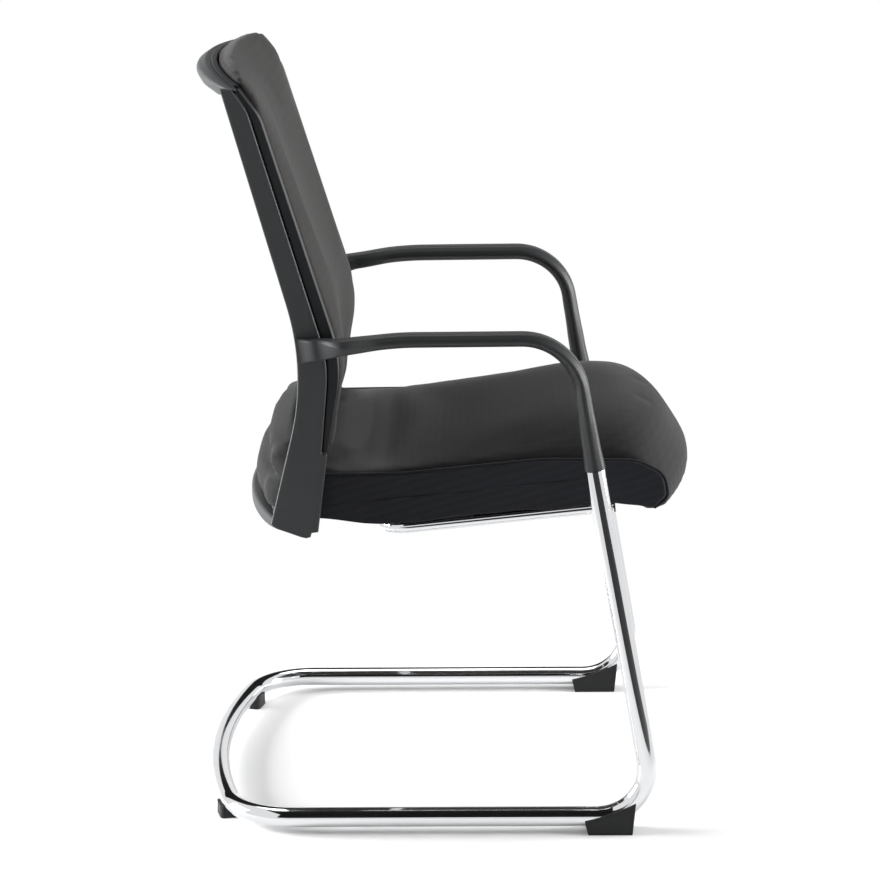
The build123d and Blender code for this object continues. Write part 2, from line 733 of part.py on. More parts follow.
# Back frame: two legs, a top rail with a rear lip and a crossbar under the seat
leg_middle = (leg_in + leg_out) / 2
top_rail_x = leg_top_x - top_rail_bow - top_rail_set_back
top_rail_r = (leg_middle**2 + top_rail_bow**2) / (2 * top_rail_bow)
crossbar_x = foot_x - leg_foot_depth / 2 - crossbar_bow
crossbar_r = (leg_middle**2 + crossbar_bow**2) / (2 * crossbar_bow)
leg_step_z = pad_low_z - leg_step_gap
leg_step = carrier_depth_low
spot_face_w = -crossbar_h - washer_t / 2
carrier_screw_x = [leg_front_x(z) - carrier_back / 2 for z in carrier_screw_zs]
carrier_screw_spots = list(zip(carrier_screw_x, carrier_screw_zs))

with BuildPart() as back_frame:
    with BuildSketch(side_plane(leg_in)):
        with BuildLine():
            front = FilletPolyline(
                (leg_top_x, leg_top_z), (leg_knee_x, knee_z),
                (leg_front_x(leg_step_z), leg_step_z),
                (leg_front_x(leg_step_z) + leg_step, leg_step_z),
                (foot_x, foot_z + crossbar_h), (foot_x - 1, foot_z + leg_toe_rise),
                (foot_x - leg_toe, foot_z), radius=[leg_front_bend_r, *leg_small_rs])
            rear = FilletPolyline(
                (leg_top_x - leg_top_depth, leg_top_z),
                (leg_knee_x - leg_knee_depth, knee_z - leg_rear_knee_drop),
                (foot_x - leg_foot_depth, foot_z + crossbar_h),
                (foot_x - leg_foot_depth + leg_heel, foot_z + leg_heel_rise),
                (foot_x - leg_toe, foot_z), radius=[leg_rear_bend_r, *leg_heel_rs])
            Line(front @ 0, rear @ 0)
        make_face()
    extrude(amount=-leg_t)
    with BuildSketch(side_plane(0)):
        with BuildLine():
            FilletPolyline(
                (top_rail_x, rail_top_z),
                (top_rail_x - 0.65 * top_rail_depth, rail_top_z - top_rail_fall),
                (top_rail_x - top_rail_depth, rail_top_z - top_rail_lip),
                (top_rail_x - 0.93 * top_rail_depth, rail_top_z - 1.7 * top_rail_lip),
                (top_rail_x - 0.3 * top_rail_depth, rail_top_z - top_rail_h),
                (top_rail_x, rail_top_z - top_rail_h), radius=list(top_rail_rs), close=True)
        make_face()
    revolve(axis=Axis((top_rail_x + top_rail_r, 0, 0), (0, 0, -1)),
            revolution_arc=degrees(asin(leg_middle / top_rail_r)))
    with BuildSketch(side_plane(0)):
        with Locations((crossbar_x, foot_z + crossbar_h / 2)):
            RectangleRounded(crossbar_depth, crossbar_h, crossbar_edge_r)
    revolve(axis=Axis((crossbar_x + crossbar_r, 0, 0), (0, 0, -1)),
            revolution_arc=degrees(asin(leg_middle / crossbar_r)))
    mirror(about=Plane.XZ)
    for y in back_bolt_spots:
        with BuildSketch(kick_level(back_bolt_u, y, -fit)):
            Circle(tee_flange_d / 2)
        extrude(amount=-crossbar_h / 2)
    for y in back_bolt_spots:
        with BuildSketch(kick_level(back_bolt_u, y, 0)):
            Circle(bolt_d / 2 + fit)
        extrude(amount=2 * spot_face_w, mode=Mode.SUBTRACT)
        with BuildSketch(kick_level(back_bolt_u, y, spot_face_w)):
            Circle(washer_d / 2 + fit)
        extrude(amount=spot_face_w, mode=Mode.SUBTRACT)
    for side, hand in sides:
        with BuildSketch(side_plane(side * leg_in)):
            with Locations(*[(arm_screw_x, z) for z in arm_screw_zs]):
                Circle(bolt_d / 2 + fit)
        extrude(amount=-side * leg_t, mode=Mode.SUBTRACT)
        with BuildSketch(side_plane(side * leg_in)):
            with Locations(*carrier_screw_spots):
                Circle(screw_d / 2 + fit)
        extrude(amount=-side * (carrier_screw_reach + fit), mode=Mode.SUBTRACT)
back_frame.part.label = "back_frame"
export_step(back_frame.part, "parts/back_frame.step")

with BuildPart() as back_bolts:
    for y in back_bolt_spots:
        with BuildSketch(kick_level(back_bolt_u, y, spot_face_w - washer_t / 2)):
            Circle(bolt_head_d / 2)
        extrude(amount=-bolt_head_h)
        with BuildSketch(kick_level(back_bolt_u, y, spot_face_w - washer_t / 2)):
            Circle(bolt_d / 2)
        extrude(amount=pan_t - tee_flange_t - spot_face_w + washer_t / 2)
back_bolts.part.label = "back_bolts"
export_step(back_bolts.part, "parts/back_bolts.step")

with BuildPart() as back_bolt_washers:
    for y in back_bolt_spots:
        with BuildSketch(kick_level(back_bolt_u, y, spot_face_w)):
            Circle(washer_d / 2)
            Circle(bolt_d / 2 + fit, mode=Mode.SUBTRACT)
        extrude(amount=-washer_t / 2)
back_bolt_washers.part.label = "back_bolt_washers"
export_step(back_bolt_washers.part, "parts/back_bolt_washers.step")

with BuildPart() as back_tee_nuts:
    for y in back_bolt_spots:
        with BuildSketch(kick_level(back_bolt_u, y, 0)):
            Circle(tee_nut_d / 2)
        extrude(amount=pan_t * kick_cos)
        with BuildSketch(kick_level(back_bolt_u, y, pan_t * kick_cos)):
            Circle(tee_flange_d / 2)
        extrude(amount=-tee_flange_t)
        with BuildSketch(kick_level(back_bolt_u, y, 0)):
            Circle(bolt_d / 2 + fit)
        extrude(amount=pan_t, mode=Mode.SUBTRACT)
back_tee_nuts.part.label = "back_tee_nuts"
export_step(back_tee_nuts.part, "parts/back_tee_nuts.step")

# Back carrier: two stiles in front of the legs, joined by rails behind the support panel
stile_in = leg_in - stile_width
stile_out = leg_out - stile_set_in
stile_wall = leg_in - soft_fit
bow_half = stile_in
panel_back = panel_t / 2
rail_front = panel_back + soft_fit
carrier_rail_zs = (pad_low_z + panel_t, panel_top_z - carrier_rail_h - panel_t)


def bow(y):
    """How far the back is set rearwards at y, none at the stiles."""
    return back_bow * max(0.0, 1 - (y / bow_half)**2)


def back_point(z, offset):
    """Point of the side view at height z, offset forwards from the front line of the legs."""
    return (leg_front_x(z) + offset, z)


def stile_profile(rear_offset, low, knee, high, top_z):
    """Side view of a stile: a rear offset, and front offsets at its foot, its knee and its top."""
    rear = FilletPolyline(back_point(pad_low_z, rear_offset), (leg_knee_x + rear_offset, knee_z),
                          back_point(top_z, rear_offset), radius=leg_front_bend_r)
    front = FilletPolyline(back_point(pad_low_z, low), (leg_knee_x + knee, knee_z),
                           back_point(top_z, high), radius=leg_front_bend_r)
    Line(rear @ 0, front @ 0)
    Line(rear @ 1, front @ 1)


def tilted_spot(z, y, offset):
    """Plane facing forwards, square to the front line of the legs, at a height and a depth."""
    slope = back_slope if z > knee_z else -low_slope
    facing = Vector(1, 0, slope).normalized()
    place = Vector(leg_front_x(z) - bow(y), y, z) + facing * offset
    return Plane(origin=place, x_dir=(0, 1, 0), z_dir=facing)


panel_screw_spots = [(z + carrier_rail_h / 2, side * (stile_in - inset))
                     for z in carrier_rail_zs for inset in panel_screw_set_ins
                     for side, hand in sides]
screw_seat = -carrier_back + screw_head_h + panel_t / 2
panel_screw_tip = panel_back / 2

with BuildPart() as back_carrier:
    for side, hand in sides:
        with BuildSketch(side_plane(side * stile_in)):
            with BuildLine():
                stile_profile(frame_gap, carrier_depth_low, carrier_depth_knee,
                              carrier_depth_top, leg_top_z)
            make_face()
        extrude(amount=-side * (stile_out - stile_in))
        with BuildSketch(side_plane(side * stile_in)):
            with BuildLine():
                stile_profile(-carrier_back, 2 * frame_gap, 2 * frame_gap, 2 * frame_gap,
                              panel_top_z)
            make_face()
        extrude(amount=-side * (stile_wall - stile_in))
    for z in carrier_rail_zs:
        for y in [stile_wall * share for share in stations]:
            with BuildSketch(side_plane(y)):
                with BuildLine():
                    Polyline(
                        *[(x - bow(y), height) for x, height in (
                            back_point(z, -carrier_back), back_point(z, -rail_front),
                            back_point(z + carrier_rail_h, -rail_front),
                            back_point(z + carrier_rail_h, -carrier_back))], close=True)
                make_face()
        loft(ruled=True)
    for side, hand in sides:
        with BuildSketch(side_plane(side * stile_in)):
            with Locations(*carrier_screw_spots):
                Circle(screw_d / 2 + fit)
        extrude(amount=-side * (stile_wall - stile_in), mode=Mode.SUBTRACT)
        with BuildSketch(side_plane(side * stile_in)):
            with Locations(*carrier_screw_spots):
                Circle(screw_head_d / 2 + fit)
        extrude(amount=-side * (screw_head_h + head_sink), mode=Mode.SUBTRACT)
    for z, y in panel_screw_spots:
        with BuildSketch(tilted_spot(z, y, 0)):
            Circle(screw_d / 2 + fit)
        extrude(amount=-2 * carrier_back, mode=Mode.SUBTRACT)
        with BuildSketch(tilted_spot(z, y, screw_seat)):
            Circle(screw_head_d / 2 + fit)
        extrude(amount=-2 * carrier_back, mode=Mode.SUBTRACT)
back_carrier.part.label = "back_carrier"
export_step(back_carrier.part, "parts/back_carrier.step")

with BuildPart() as carrier_screws:
    for side, hand in sides:
        seat_y = stile_in + screw_head_h + head_sink
        for radius, amount in ((screw_head_d / 2, screw_head_h),
                               (screw_d / 2, seat_y - leg_in - carrier_screw_reach)):
            with BuildSketch(side_plane(side * seat_y)):
                with Locations(*carrier_screw_spots):
                    Circle(radius)
            extrude(amount=side * amount)
carrier_screws.part.label = "carrier_screws"
export_step(carrier_screws.part, "parts/carrier_screws.step")

pad_half = stile_in - soft_fit
panel_low_z = pad_low_z + panel_t

with BuildPart() as back_panel:
    for y in [pad_half * share for share in stations]:
        with BuildSketch(side_plane(y)):
            with BuildLine():
                rear = FilletPolyline(*[(x - bow(y), z) for x, z in (
                    back_point(panel_low_z, -panel_back), (leg_knee_x - panel_back, knee_z),
                    back_point(panel_top_z, -panel_back))], radius=leg_front_bend_r)
                front = FilletPolyline(*[(x - bow(y), z) for x, z in (
                    back_point(panel_low_z, panel_back), (leg_knee_x + panel_back, knee_z),
                    back_point(panel_top_z, panel_back))], radius=leg_front_bend_r)
                Line(rear @ 0, front @ 0)
                Line(rear @ 1, front @ 1)
            make_face()
    loft(ruled=True)
    for z, y in panel_screw_spots:
        with BuildSketch(tilted_spot(z, y, panel_screw_tip + fit)):
            Circle(screw_d / 2 + fit)
        extrude(amount=-panel_t, mode=Mode.SUBTRACT)
back_panel.part.label = "back_panel"
export_step(back_panel.part, "parts/back_panel.step")

with BuildPart() as panel_screws:
    for z, y in panel_screw_spots:
        with BuildSketch(tilted_spot(z, y, screw_seat)):
            Circle(screw_head_d / 2)
        extrude(amount=-screw_head_h)
        with BuildSketch(tilted_spot(z, y, screw_seat)):
            Circle(screw_d / 2)
        extrude(amount=panel_screw_tip - screw_seat)
panel_screws.part.label = "panel_screws"
export_step(panel_screws.part, "parts/panel_screws.step")

# Back pad: lofted across the chair, bowed with the back, its top rolled over to the top rail
pad_jog_z = panel_top_z + panel_t
pad_rear = panel_back + soft_fit

with BuildPart() as back_pad:
    for share in stations:
        y = share * pad_half
        rise = swell(share)
        set_back = bow(y)
        top_z = back_top_z - pad_arch * share**2 - pad_corner_drop * (1 - rise)
        rail_face = top_rail_x + top_rail_r - sqrt(top_rail_r**2 - y**2) + soft_fit
        puff = pad_puff * rise - set_back
        with BuildSketch(side_plane(y)):
            with BuildLine():
                FilletPolyline(
                    (leg_front_x(pad_low_z) + pad_rear - set_back, pad_low_z),
                    (leg_front_x(pad_low_z) + carrier_depth_low + puff, pad_low_z),
                    (leg_knee_x + carrier_depth_knee + puff, knee_z),
                    (leg_front_x(top_z) + carrier_depth_top + puff, top_z),
                    (rail_face, min(top_z - pad_top_fall, rail_top_z + pad_over_rail)),
                    (rail_face, pad_jog_z),
                    (leg_front_x(pad_jog_z) + pad_rear - set_back, pad_jog_z),
                    (leg_knee_x + pad_rear - set_back, knee_z),
                    radius=[pad_edge_r, pad_edge_r, leg_front_bend_r, pad_top_r, pad_edge_r,
                            pad_edge_r, pad_edge_r, leg_front_bend_r], close=True)
            make_face()
    loft(ruled=True)
back_pad.part.label = "back_pad"
export_step(back_pad.part, "parts/back_pad.step")
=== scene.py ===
"""Looks of the visitor chair, on the frame of its solid model.

Formulas are in millimetres, with +X to the front of the chair, +Y to the sitter's left and
+Z up. They become metres where a mesh is made.
"""

import bpy
import numpy as np
from mathutils import Matrix


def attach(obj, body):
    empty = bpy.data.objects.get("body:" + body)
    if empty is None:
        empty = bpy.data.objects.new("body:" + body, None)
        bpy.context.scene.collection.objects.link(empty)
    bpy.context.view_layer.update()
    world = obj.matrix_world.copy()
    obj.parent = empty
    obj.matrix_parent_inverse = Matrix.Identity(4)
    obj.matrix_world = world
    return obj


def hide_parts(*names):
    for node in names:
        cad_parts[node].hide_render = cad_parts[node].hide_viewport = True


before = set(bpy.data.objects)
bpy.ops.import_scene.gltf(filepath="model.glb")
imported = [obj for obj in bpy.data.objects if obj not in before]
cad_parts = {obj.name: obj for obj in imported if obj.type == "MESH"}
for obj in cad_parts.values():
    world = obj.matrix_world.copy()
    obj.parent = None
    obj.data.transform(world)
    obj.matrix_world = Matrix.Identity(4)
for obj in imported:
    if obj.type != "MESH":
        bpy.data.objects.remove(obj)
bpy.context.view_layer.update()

# Sizes shared with the solid model
HALF_TRACK, TUBE_R, RUNNER_Z = 265.0, 12.5, 20.0
FRONT_CORNER_X, LEAN, FRONT_BEND_R = 264.0, np.radians(9.8), 62.0
UPRIGHT_TOP_Z, JOINT_X = 467.0, -176.0
REAR_MID_X, BOW_R, CORNER_R = -296.5, 800.0, 85.0
RAIL_Z, RAIL_R, RAIL_HALF, TILT = 383.0, 10.0, 199.0, np.radians(5.9)
RAIL_REAR_U, RAIL_CORNER_R, STUB_R = -70.0, 30.0, 7.0
CUSHION_HALF, PAN_HALF = 214.0, 208.0
PAN_REAR_U, PAN_NOSE_U, PAN_CORNER_R, PAN_TOP_W = -209.0, 258.0, 35.0, 25.0
PAN_KNEE_U, KICK = -76.0, np.tan(np.radians(9.0))
ARM_TOP_Z, ARM_END_X, ARM_END_Z = 628.0, -172.0, 610.0
LEG_IN, LEG_OUT, LEG_MID = 222.0, 236.0, 229.0
KNEE_X, KNEE_Z, BACK_SLOPE = -135.0, 593.0, np.tan(np.radians(16.5))
FOOT_X, FOOT_Z, CROSSBAR_H = -155.0, 373.0, 18.0
CROSSBAR_X, CROSSBAR_R, CROSSBAR_HALF_DEPTH = -229.0, 581.4, 18.0
BACK_BOW = 20.0
STILE_IN, STILE_OUT, PAD_LOW_Z, PANEL_TOP_Z = 210.0, 230.0, 477.0, 884.0
LOW_SLOPE = (KNEE_X - FOOT_X) / (KNEE_Z - FOOT_Z)

# Sizes of the visible forms that the photograph shows a little apart from the solids
LEG_TOP_Z, BACK_TOP_Z = 926.0, 948.0
ARM_BEND_R, ARM_SAG_X, ARM_SAG_R = 72.0, -55.6, 400.0
LEG_EDGE_R, STILE_EDGE_R, WELT_R = 1.8, 1.0, 2.0

# Cloth bags: pressure, stiffness against bending, frames, and farthest puff and cell size in mm
BAG_PRESSURE, BAG_BENDING, BAG_FRAMES = 4.0, 10.0, 20
PAD_CAP, PAD_CELL, CUSHION_CAP, CUSHION_CELL = 7.0, 5.0, 6.0, 6.0
SIDES = ((1, "left"), (-1, "right"))


def upright_x(z):
    """Centre line of an upright at height z: a straight line that leans back by LEAN."""
    return FRONT_CORNER_X - (z - RUNNER_Z) * np.tan(LEAN)


STUB_U = upright_x(RAIL_Z) / (np.cos(TILT) + np.sin(TILT) * np.tan(LEAN))
RAIL_FRONT_U = STUB_U + 14.0


def seat_world(u, y, w):
    """World points of places along the tilted rail (u), across (y) and square to it (w)."""
    u, y, w = np.broadcast_arrays(u, y, w)
    return np.stack([u * np.cos(TILT) - w * np.sin(TILT), y,
                     RAIL_Z + u * np.sin(TILT) + w * np.cos(TILT)], axis=-1)


def leg_front_x(z):
    """Front line of the legs: one slope above the knee and another below it."""
    return KNEE_X - np.where(z > KNEE_Z, (z - KNEE_Z) * BACK_SLOPE, (KNEE_Z - z) * LOW_SLOPE)


def swell(share):
    """Rise of a padded face across its half width: the root of one minus the fourth power."""
    return np.sqrt(np.clip(1 - share**4, 0, None))


# Curves

def rounded_outline(corners, radii, arc=8, run=8):
    """Closed outlines with round corners, one per station.

    Each corner gives way to the arc that touches both its sides, written as a rational
    quadratic curve whose middle weight is the sine of half the corner's angle. The straight
    runs between the arcs are divided evenly.
    """
    corners, radii = np.asarray(corners, float), np.asarray(radii, float)
    before, after = np.roll(corners, 1, 1) - corners, np.roll(corners, -1, 1) - corners
    len_b, len_a = np.linalg.norm(before, axis=2), np.linalg.norm(after, axis=2)
    a, b = before / len_b[..., None], after / len_a[..., None]
    half = np.arccos(np.clip((a * b).sum(2), -1, 1)) / 2
    reach = np.minimum(radii / np.tan(half), 0.48 * np.minimum(len_b, len_a))[..., None]
    start, end = corners + a * reach, corners + b * reach
    t = np.linspace(0, 1, arc)[:, None]
    weight = (2 * t * (1 - t))[None, None] * np.sin(half)[..., None, None]
    low, high = ((1 - t)**2)[None, None], (t**2)[None, None]
    arcs = (low * start[:, :, None] + weight * corners[:, :, None] + high * end[:, :, None])
    arcs = arcs / (low + weight + high)
    s = np.linspace(0, 1, run + 2)[1:-1, None]
    runs = end[:, :, None] + (np.roll(start, -1, 1) - end)[:, :, None] * s[None, None]
    return np.concatenate([arcs, runs], axis=2).reshape(len(corners), -1, 2)


def bent_line(points, radii, count):
    """Open line through points with its inner corners rounded, spaced evenly by length."""
    points = np.asarray(points, float)
    closed = rounded_outline(points[None], [[0.0, *radii, 0.0]], 24, 24)[0]
    line = np.vstack([points[:1], closed[24:48 * (len(points) - 1)], points[-1:]])
    return even(line, count)


def even(line, count):
    """The same line with count points, evenly spaced along its length."""
    steps = np.concatenate([[0], np.cumsum(np.linalg.norm(np.diff(line, axis=0), axis=1))])
    keep = np.concatenate([[True], np.diff(steps) > 1e-9])
    at = np.linspace(0, steps[-1], count)
    return np.stack([np.interp(at, steps[keep], line[keep, k]) for k in range(line.shape[1])], 1)


def eased(share, keys, values):
    """Values between keys, eased in and out of each one by a cubic step."""
    keys, values = np.asarray(keys, float), np.asarray(values, float)
    k = np.clip(np.searchsorted(keys, share, "right") - 1, 0, len(keys) - 2)
    t = np.clip((share - keys[k]) / (keys[k + 1] - keys[k]), 0, 1)
    return values[k] + (values[k + 1] - values[k]) * t * t * (3 - 2 * t)


def carried(profile, path, across):
    """Profile carried along a path that lies square to one direction.

    A profile point (a, b) goes to the path point plus a times that direction plus b times the
    direction square to it and to the path.
    """
    tangent = np.gradient(path, axis=0)
    tangent = tangent / np.linalg.norm(tangent, axis=1)[:, None]
    across = np.asarray(across, float)
    normal = np.cross(across, tangent)
    profile = np.broadcast_to(profile, (len(path), *np.shape(profile)[-2:]))
    return (path[:, None] + profile[..., :1] * across + profile[..., 1:] * normal[:, None])


def ring(radius, count=48):
    """Points of a circle."""
    turn = np.linspace(0, 2 * np.pi, count, endpoint=False)
    return radius * np.stack([np.cos(turn), np.sin(turn)], axis=1)


def corner_rows(count, points):
    """Corner points at every station, from pairs of numbers or of arrays."""
    return np.stack([np.column_stack([np.full(count, a), np.full(count, b)]) for a, b in points], 1)


# Pieces

def skin(rows):
    """Vertices and faces of a closed skin: rows of ringed points, capped at both ends."""
    n, m = rows.shape[:2]
    i, j = np.meshgrid(np.arange(n - 1), np.arange(m), indexing="ij")
    k = (j + 1) % m
    quads = np.stack([i * m + j, i * m + k, (i + 1) * m + k, (i + 1) * m + j], -1).reshape(-1, 4)
    low, high = rows[0].mean(0), rows[-1].mean(0)
    verts = np.vstack([rows.reshape(-1, 3), low, high])
    j, k = np.arange(m), (np.arange(m) + 1) % m
    caps = np.vstack([np.stack([k, j, np.full(m, n * m)], 1),
                      np.stack([j + (n - 1) * m, k + (n - 1) * m, np.full(m, n * m + 1)], 1)])
    tris = np.vstack([quads[:, [0, 1, 2]], quads[:, [0, 2, 3]], caps])
    p = verts[tris]
    if np.einsum("ij,ij->", p[:, 0], np.cross(p[:, 1], p[:, 2])) < 0:
        quads, caps = quads[:, ::-1], caps[:, ::-1]
    return verts, quads.tolist() + caps.tolist()


def piece(name, skins, nodes, material, sharp=35.0, body="root"):
    """One object made of closed skins, shaded smooth up to an angle, standing for CAD nodes."""
    verts, faces, base = [], [], 0
    for v, f in skins:
        verts.append(v)
        faces += [[q + base for q in face] for face in f]
        base += len(v)
    mesh = bpy.data.meshes.new(name)
    mesh.from_pydata((np.vstack(verts) * 0.001).tolist(), [], faces)
    mesh.polygons.foreach_set("use_smooth", np.ones(len(mesh.polygons), bool))
    mesh.set_sharp_from_angle(angle=np.radians(sharp))
    mesh.materials.append(material)
    obj = bpy.data.objects.new(name, mesh)
    bpy.context.scene.collection.objects.link(obj)
    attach(obj, body)
    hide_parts(*nodes)
    return obj


# Materials

def hex_rgb(code):
    """Linear colour of an sRGB hex value."""
    c = np.array([int(code[i:i + 2], 16) for i in (1, 3, 5)]) / 255
    lin = np.where(c <= 0.04045, c / 12.92, ((c + 0.055) / 1.055)**2.4)
    return (*lin.tolist(), 1.0)


def add_node(tree, kind, links=(), **settings):
    """A node with its settings; inputs are set by name, links are (input, source socket)."""
    node = tree.nodes.new(kind)
    for key, value in settings.items():
        if hasattr(node, key):
            setattr(node, key, value)
        else:
            node.inputs[key.replace("_", " ")].default_value = value
    for target, source in links:
        tree.links.new(source, node.inputs[target])
    return node


def new_material(name, **settings):
    """A material with its surface shader; settings are the shader's own sockets."""
    mat = bpy.data.materials.new(name)
    mat.use_nodes = True
    shader = mat.node_tree.nodes["Principled BSDF"]
    for key, value in settings.items():
        shader.inputs[key.replace("_", " ")].default_value = value
    return mat, mat.node_tree, shader


def two_tone(tree, shader, share, dark, light):
    """Base colour that runs from dark to light with the share that a texture gives."""
    tone = add_node(tree, "ShaderNodeMix", [("Factor", share)], data_type="RGBA")
    tone.inputs[6].default_value, tone.inputs[7].default_value = dark, light
    tree.links.new(tone.outputs[2], shader.inputs["Base Color"])


def mottled_gloss(tree, shader, share, low, high):
    """Roughness that varies between two values with the share that a texture gives."""
    rough = add_node(tree, "ShaderNodeMapRange", [("Value", share)], To_Min=low, To_Max=high)
    tree.links.new(rough.outputs["Result"], shader.inputs["Roughness"])


def raised(tree, shader, height, strength, depth):
    """Fine relief of a given strength and depth in metres."""
    bump = add_node(tree, "ShaderNodeBump", [("Height", height)], Strength=strength, Distance=depth)
    tree.links.new(bump.outputs["Normal"], shader.inputs["Normal"])


def chromed_steel():
    """Chrome plating on drawn tube: a clear mirror whose gloss varies faintly, as if wiped."""
    mat, tree, shader = new_material("chromed_steel", Metallic=1.0, Base_Color=hex_rgb("#DCDDDF"))
    where = add_node(tree, "ShaderNodeTexCoord").outputs["Object"]
    smear = add_node(tree, "ShaderNodeTexNoise", [("Vector", where)], Scale=60.0, Detail=3.0)
    mottled_gloss(tree, shader, smear.outputs["Fac"], 0.035, 0.085)
    return mat


def moulded_plastic(name, code, rough, grain_mm):
    """Injection-moulded polypropylene: satin black with a spark-eroded grain."""
    mat, tree, shader = new_material(name, IOR=1.49, Specular_IOR_Level=0.28)
    where = add_node(tree, "ShaderNodeTexCoord").outputs["Object"]
    grain = add_node(tree, "ShaderNodeTexNoise", [("Vector", where)], Scale=1000 / grain_mm,
                     Detail=2.0)
    cloud = add_node(tree, "ShaderNodeTexNoise", [("Vector", where)], Scale=9.0, Detail=2.0)
    base = np.array(hex_rgb(code))[:3]
    two_tone(tree, shader, cloud.outputs["Fac"], (*(base * 0.88), 1), (*(base * 1.12), 1))
    mottled_gloss(tree, shader, grain.outputs["Fac"], rough - 0.05, rough + 0.05)
    raised(tree, shader, grain.outputs["Fac"], 0.08, 0.0004)
    return mat


def woven_cloth(name, code, light, thread_mm, rough):
    """Woven upholstery cloth: warp and weft threads that rise and dip, with a soft sheen.

    The threads are drawn about twice as coarse as real ones so that they show.
    """
    mat, tree, shader = new_material(name, Sheen_Weight=0.12, Sheen_Roughness=0.35, IOR=1.45,
                                     Specular_IOR_Level=0.15, Roughness=rough)
    where = add_node(tree, "ShaderNodeTexCoord").outputs["Object"]
    turned = add_node(tree, "ShaderNodeMapping", [("Vector", where)],
                      Rotation=(0.0, np.radians(16.0), 0.0)).outputs["Vector"]
    waves = [add_node(tree, "ShaderNodeTexWave", [("Vector", turned)], wave_type="BANDS",
                      bands_direction=axis, Scale=1000 / thread_mm / 20, Distortion=1.5,
                      Detail=1.0).outputs["Fac"] for axis in ("X", "Y", "Z")]
    cross = add_node(tree, "ShaderNodeMath", [(0, waves[0]), (1, waves[1])], operation="MULTIPLY")
    weave = add_node(tree, "ShaderNodeMath", [(0, cross.outputs[0]), (1, waves[2])], operation="ADD")
    cloud = add_node(tree, "ShaderNodeTexNoise", [("Vector", where)], Scale=14.0, Detail=4.0)
    mixed = add_node(tree, "ShaderNodeMath", [(0, weave.outputs[0]), (2, cloud.outputs["Fac"])],
                     operation="MULTIPLY_ADD")
    mixed.inputs[1].default_value = 0.3
    two_tone(tree, shader, mixed.outputs[0], hex_rgb(code), hex_rgb(light))
    raised(tree, shader, weave.outputs[0], 0.15, 0.0005)
    return mat


def stained_plywood():
    """Beech plywood under a dark stain: long grain along the seat, darker pores."""
    mat, tree, shader = new_material("stained_plywood", Roughness=0.55)
    where = add_node(tree, "ShaderNodeTexCoord").outputs["Object"]
    long = add_node(tree, "ShaderNodeMapping", [("Vector", where)], Scale=(6.0, 90.0, 300.0))
    grain = add_node(tree, "ShaderNodeTexNoise", [("Vector", long.outputs["Vector"])], Scale=1.0,
                     Detail=6.0)
    two_tone(tree, shader, grain.outputs["Fac"], hex_rgb("#191614"), hex_rgb("#2A241F"))
    return mat


def zinc_plated_steel():
    """Zinc plating on screws: a dull bluish metal with a mottled sheen."""
    mat, tree, shader = new_material("zinc_plated_steel", Metallic=1.0,
                                     Base_Color=hex_rgb("#B9BDC2"))
    where = add_node(tree, "ShaderNodeTexCoord").outputs["Object"]
    mottle = add_node(tree, "ShaderNodeTexNoise", [("Vector", where)], Scale=400.0, Detail=3.0)
    mottled_gloss(tree, shader, mottle.outputs["Fac"], 0.25, 0.42)
    return mat


chrome = chromed_steel()
frame_plastic = moulded_plastic("moulded_polypropylene_frame", "#37393A", 0.42, 0.7)
carrier_plastic = moulded_plastic("moulded_polypropylene_carrier", "#1F2123", 0.45, 0.7)
arm_plastic = moulded_plastic("moulded_polypropylene_arm", "#2E2F30", 0.42, 0.7)
foot_plastic = moulded_plastic("moulded_polypropylene_foot", "#141516", 0.5, 0.9)
seat_cloth = woven_cloth("woven_seat_cloth", "#1D1D1E", "#262626", 1.6, 0.8)
side_cloth = woven_cloth("woven_side_cloth", "#1C1D20", "#25262A", 1.6, 0.85)
back_cloth = woven_cloth("woven_back_cloth", "#201F1F", "#2B2A29", 2.2, 0.8)
plywood = stained_plywood()
zinc = zinc_plated_steel()


# Sled frame and seat rail

def side_tube(side):
    """A ring carried down the upright, round the front bend and back along the runner."""
    line = bent_line([(upright_x(UPRIGHT_TOP_Z), UPRIGHT_TOP_Z), (FRONT_CORNER_X, RUNNER_Z),
                      (JOINT_X, RUNNER_Z)], [FRONT_BEND_R], 260)
    path = np.stack([line[:, 0], np.full(len(line), side * HALF_TRACK), line[:, 1]], 1)
    return skin(carried(ring(TUBE_R), path, (0, 1, 0)))


def rear_tube():
    """A ring carried round two corner bends and the long rearward bow between them."""
    turn = np.arcsin((HALF_TRACK - CORNER_R) / (BOW_R - CORNER_R))
    end_x = REAR_MID_X + BOW_R * (1 - np.cos(turn))
    cx, cy = end_x + CORNER_R * np.cos(turn), HALF_TRACK - CORNER_R
    corner = np.linspace(np.pi / 2, np.pi - turn, 60)
    sweep = np.linspace(np.pi - turn, np.pi + turn, 160)[1:-1]
    left = np.stack([cx + CORNER_R * np.cos(corner), cy + CORNER_R * np.sin(corner)], 1)
    middle = np.stack([REAR_MID_X + BOW_R + BOW_R * np.cos(sweep), BOW_R * np.sin(sweep)], 1)
    right = left[::-1] * (1, -1)
    plan = even(np.vstack([[(JOINT_X, HALF_TRACK)], left, middle, right,
                           [(JOINT_X, -HALF_TRACK)]]), 360)
    path = np.column_stack([plan, np.full(len(plan), RUNNER_Z)])
    return skin(carried(ring(TUBE_R), path, (0, 0, 1)))


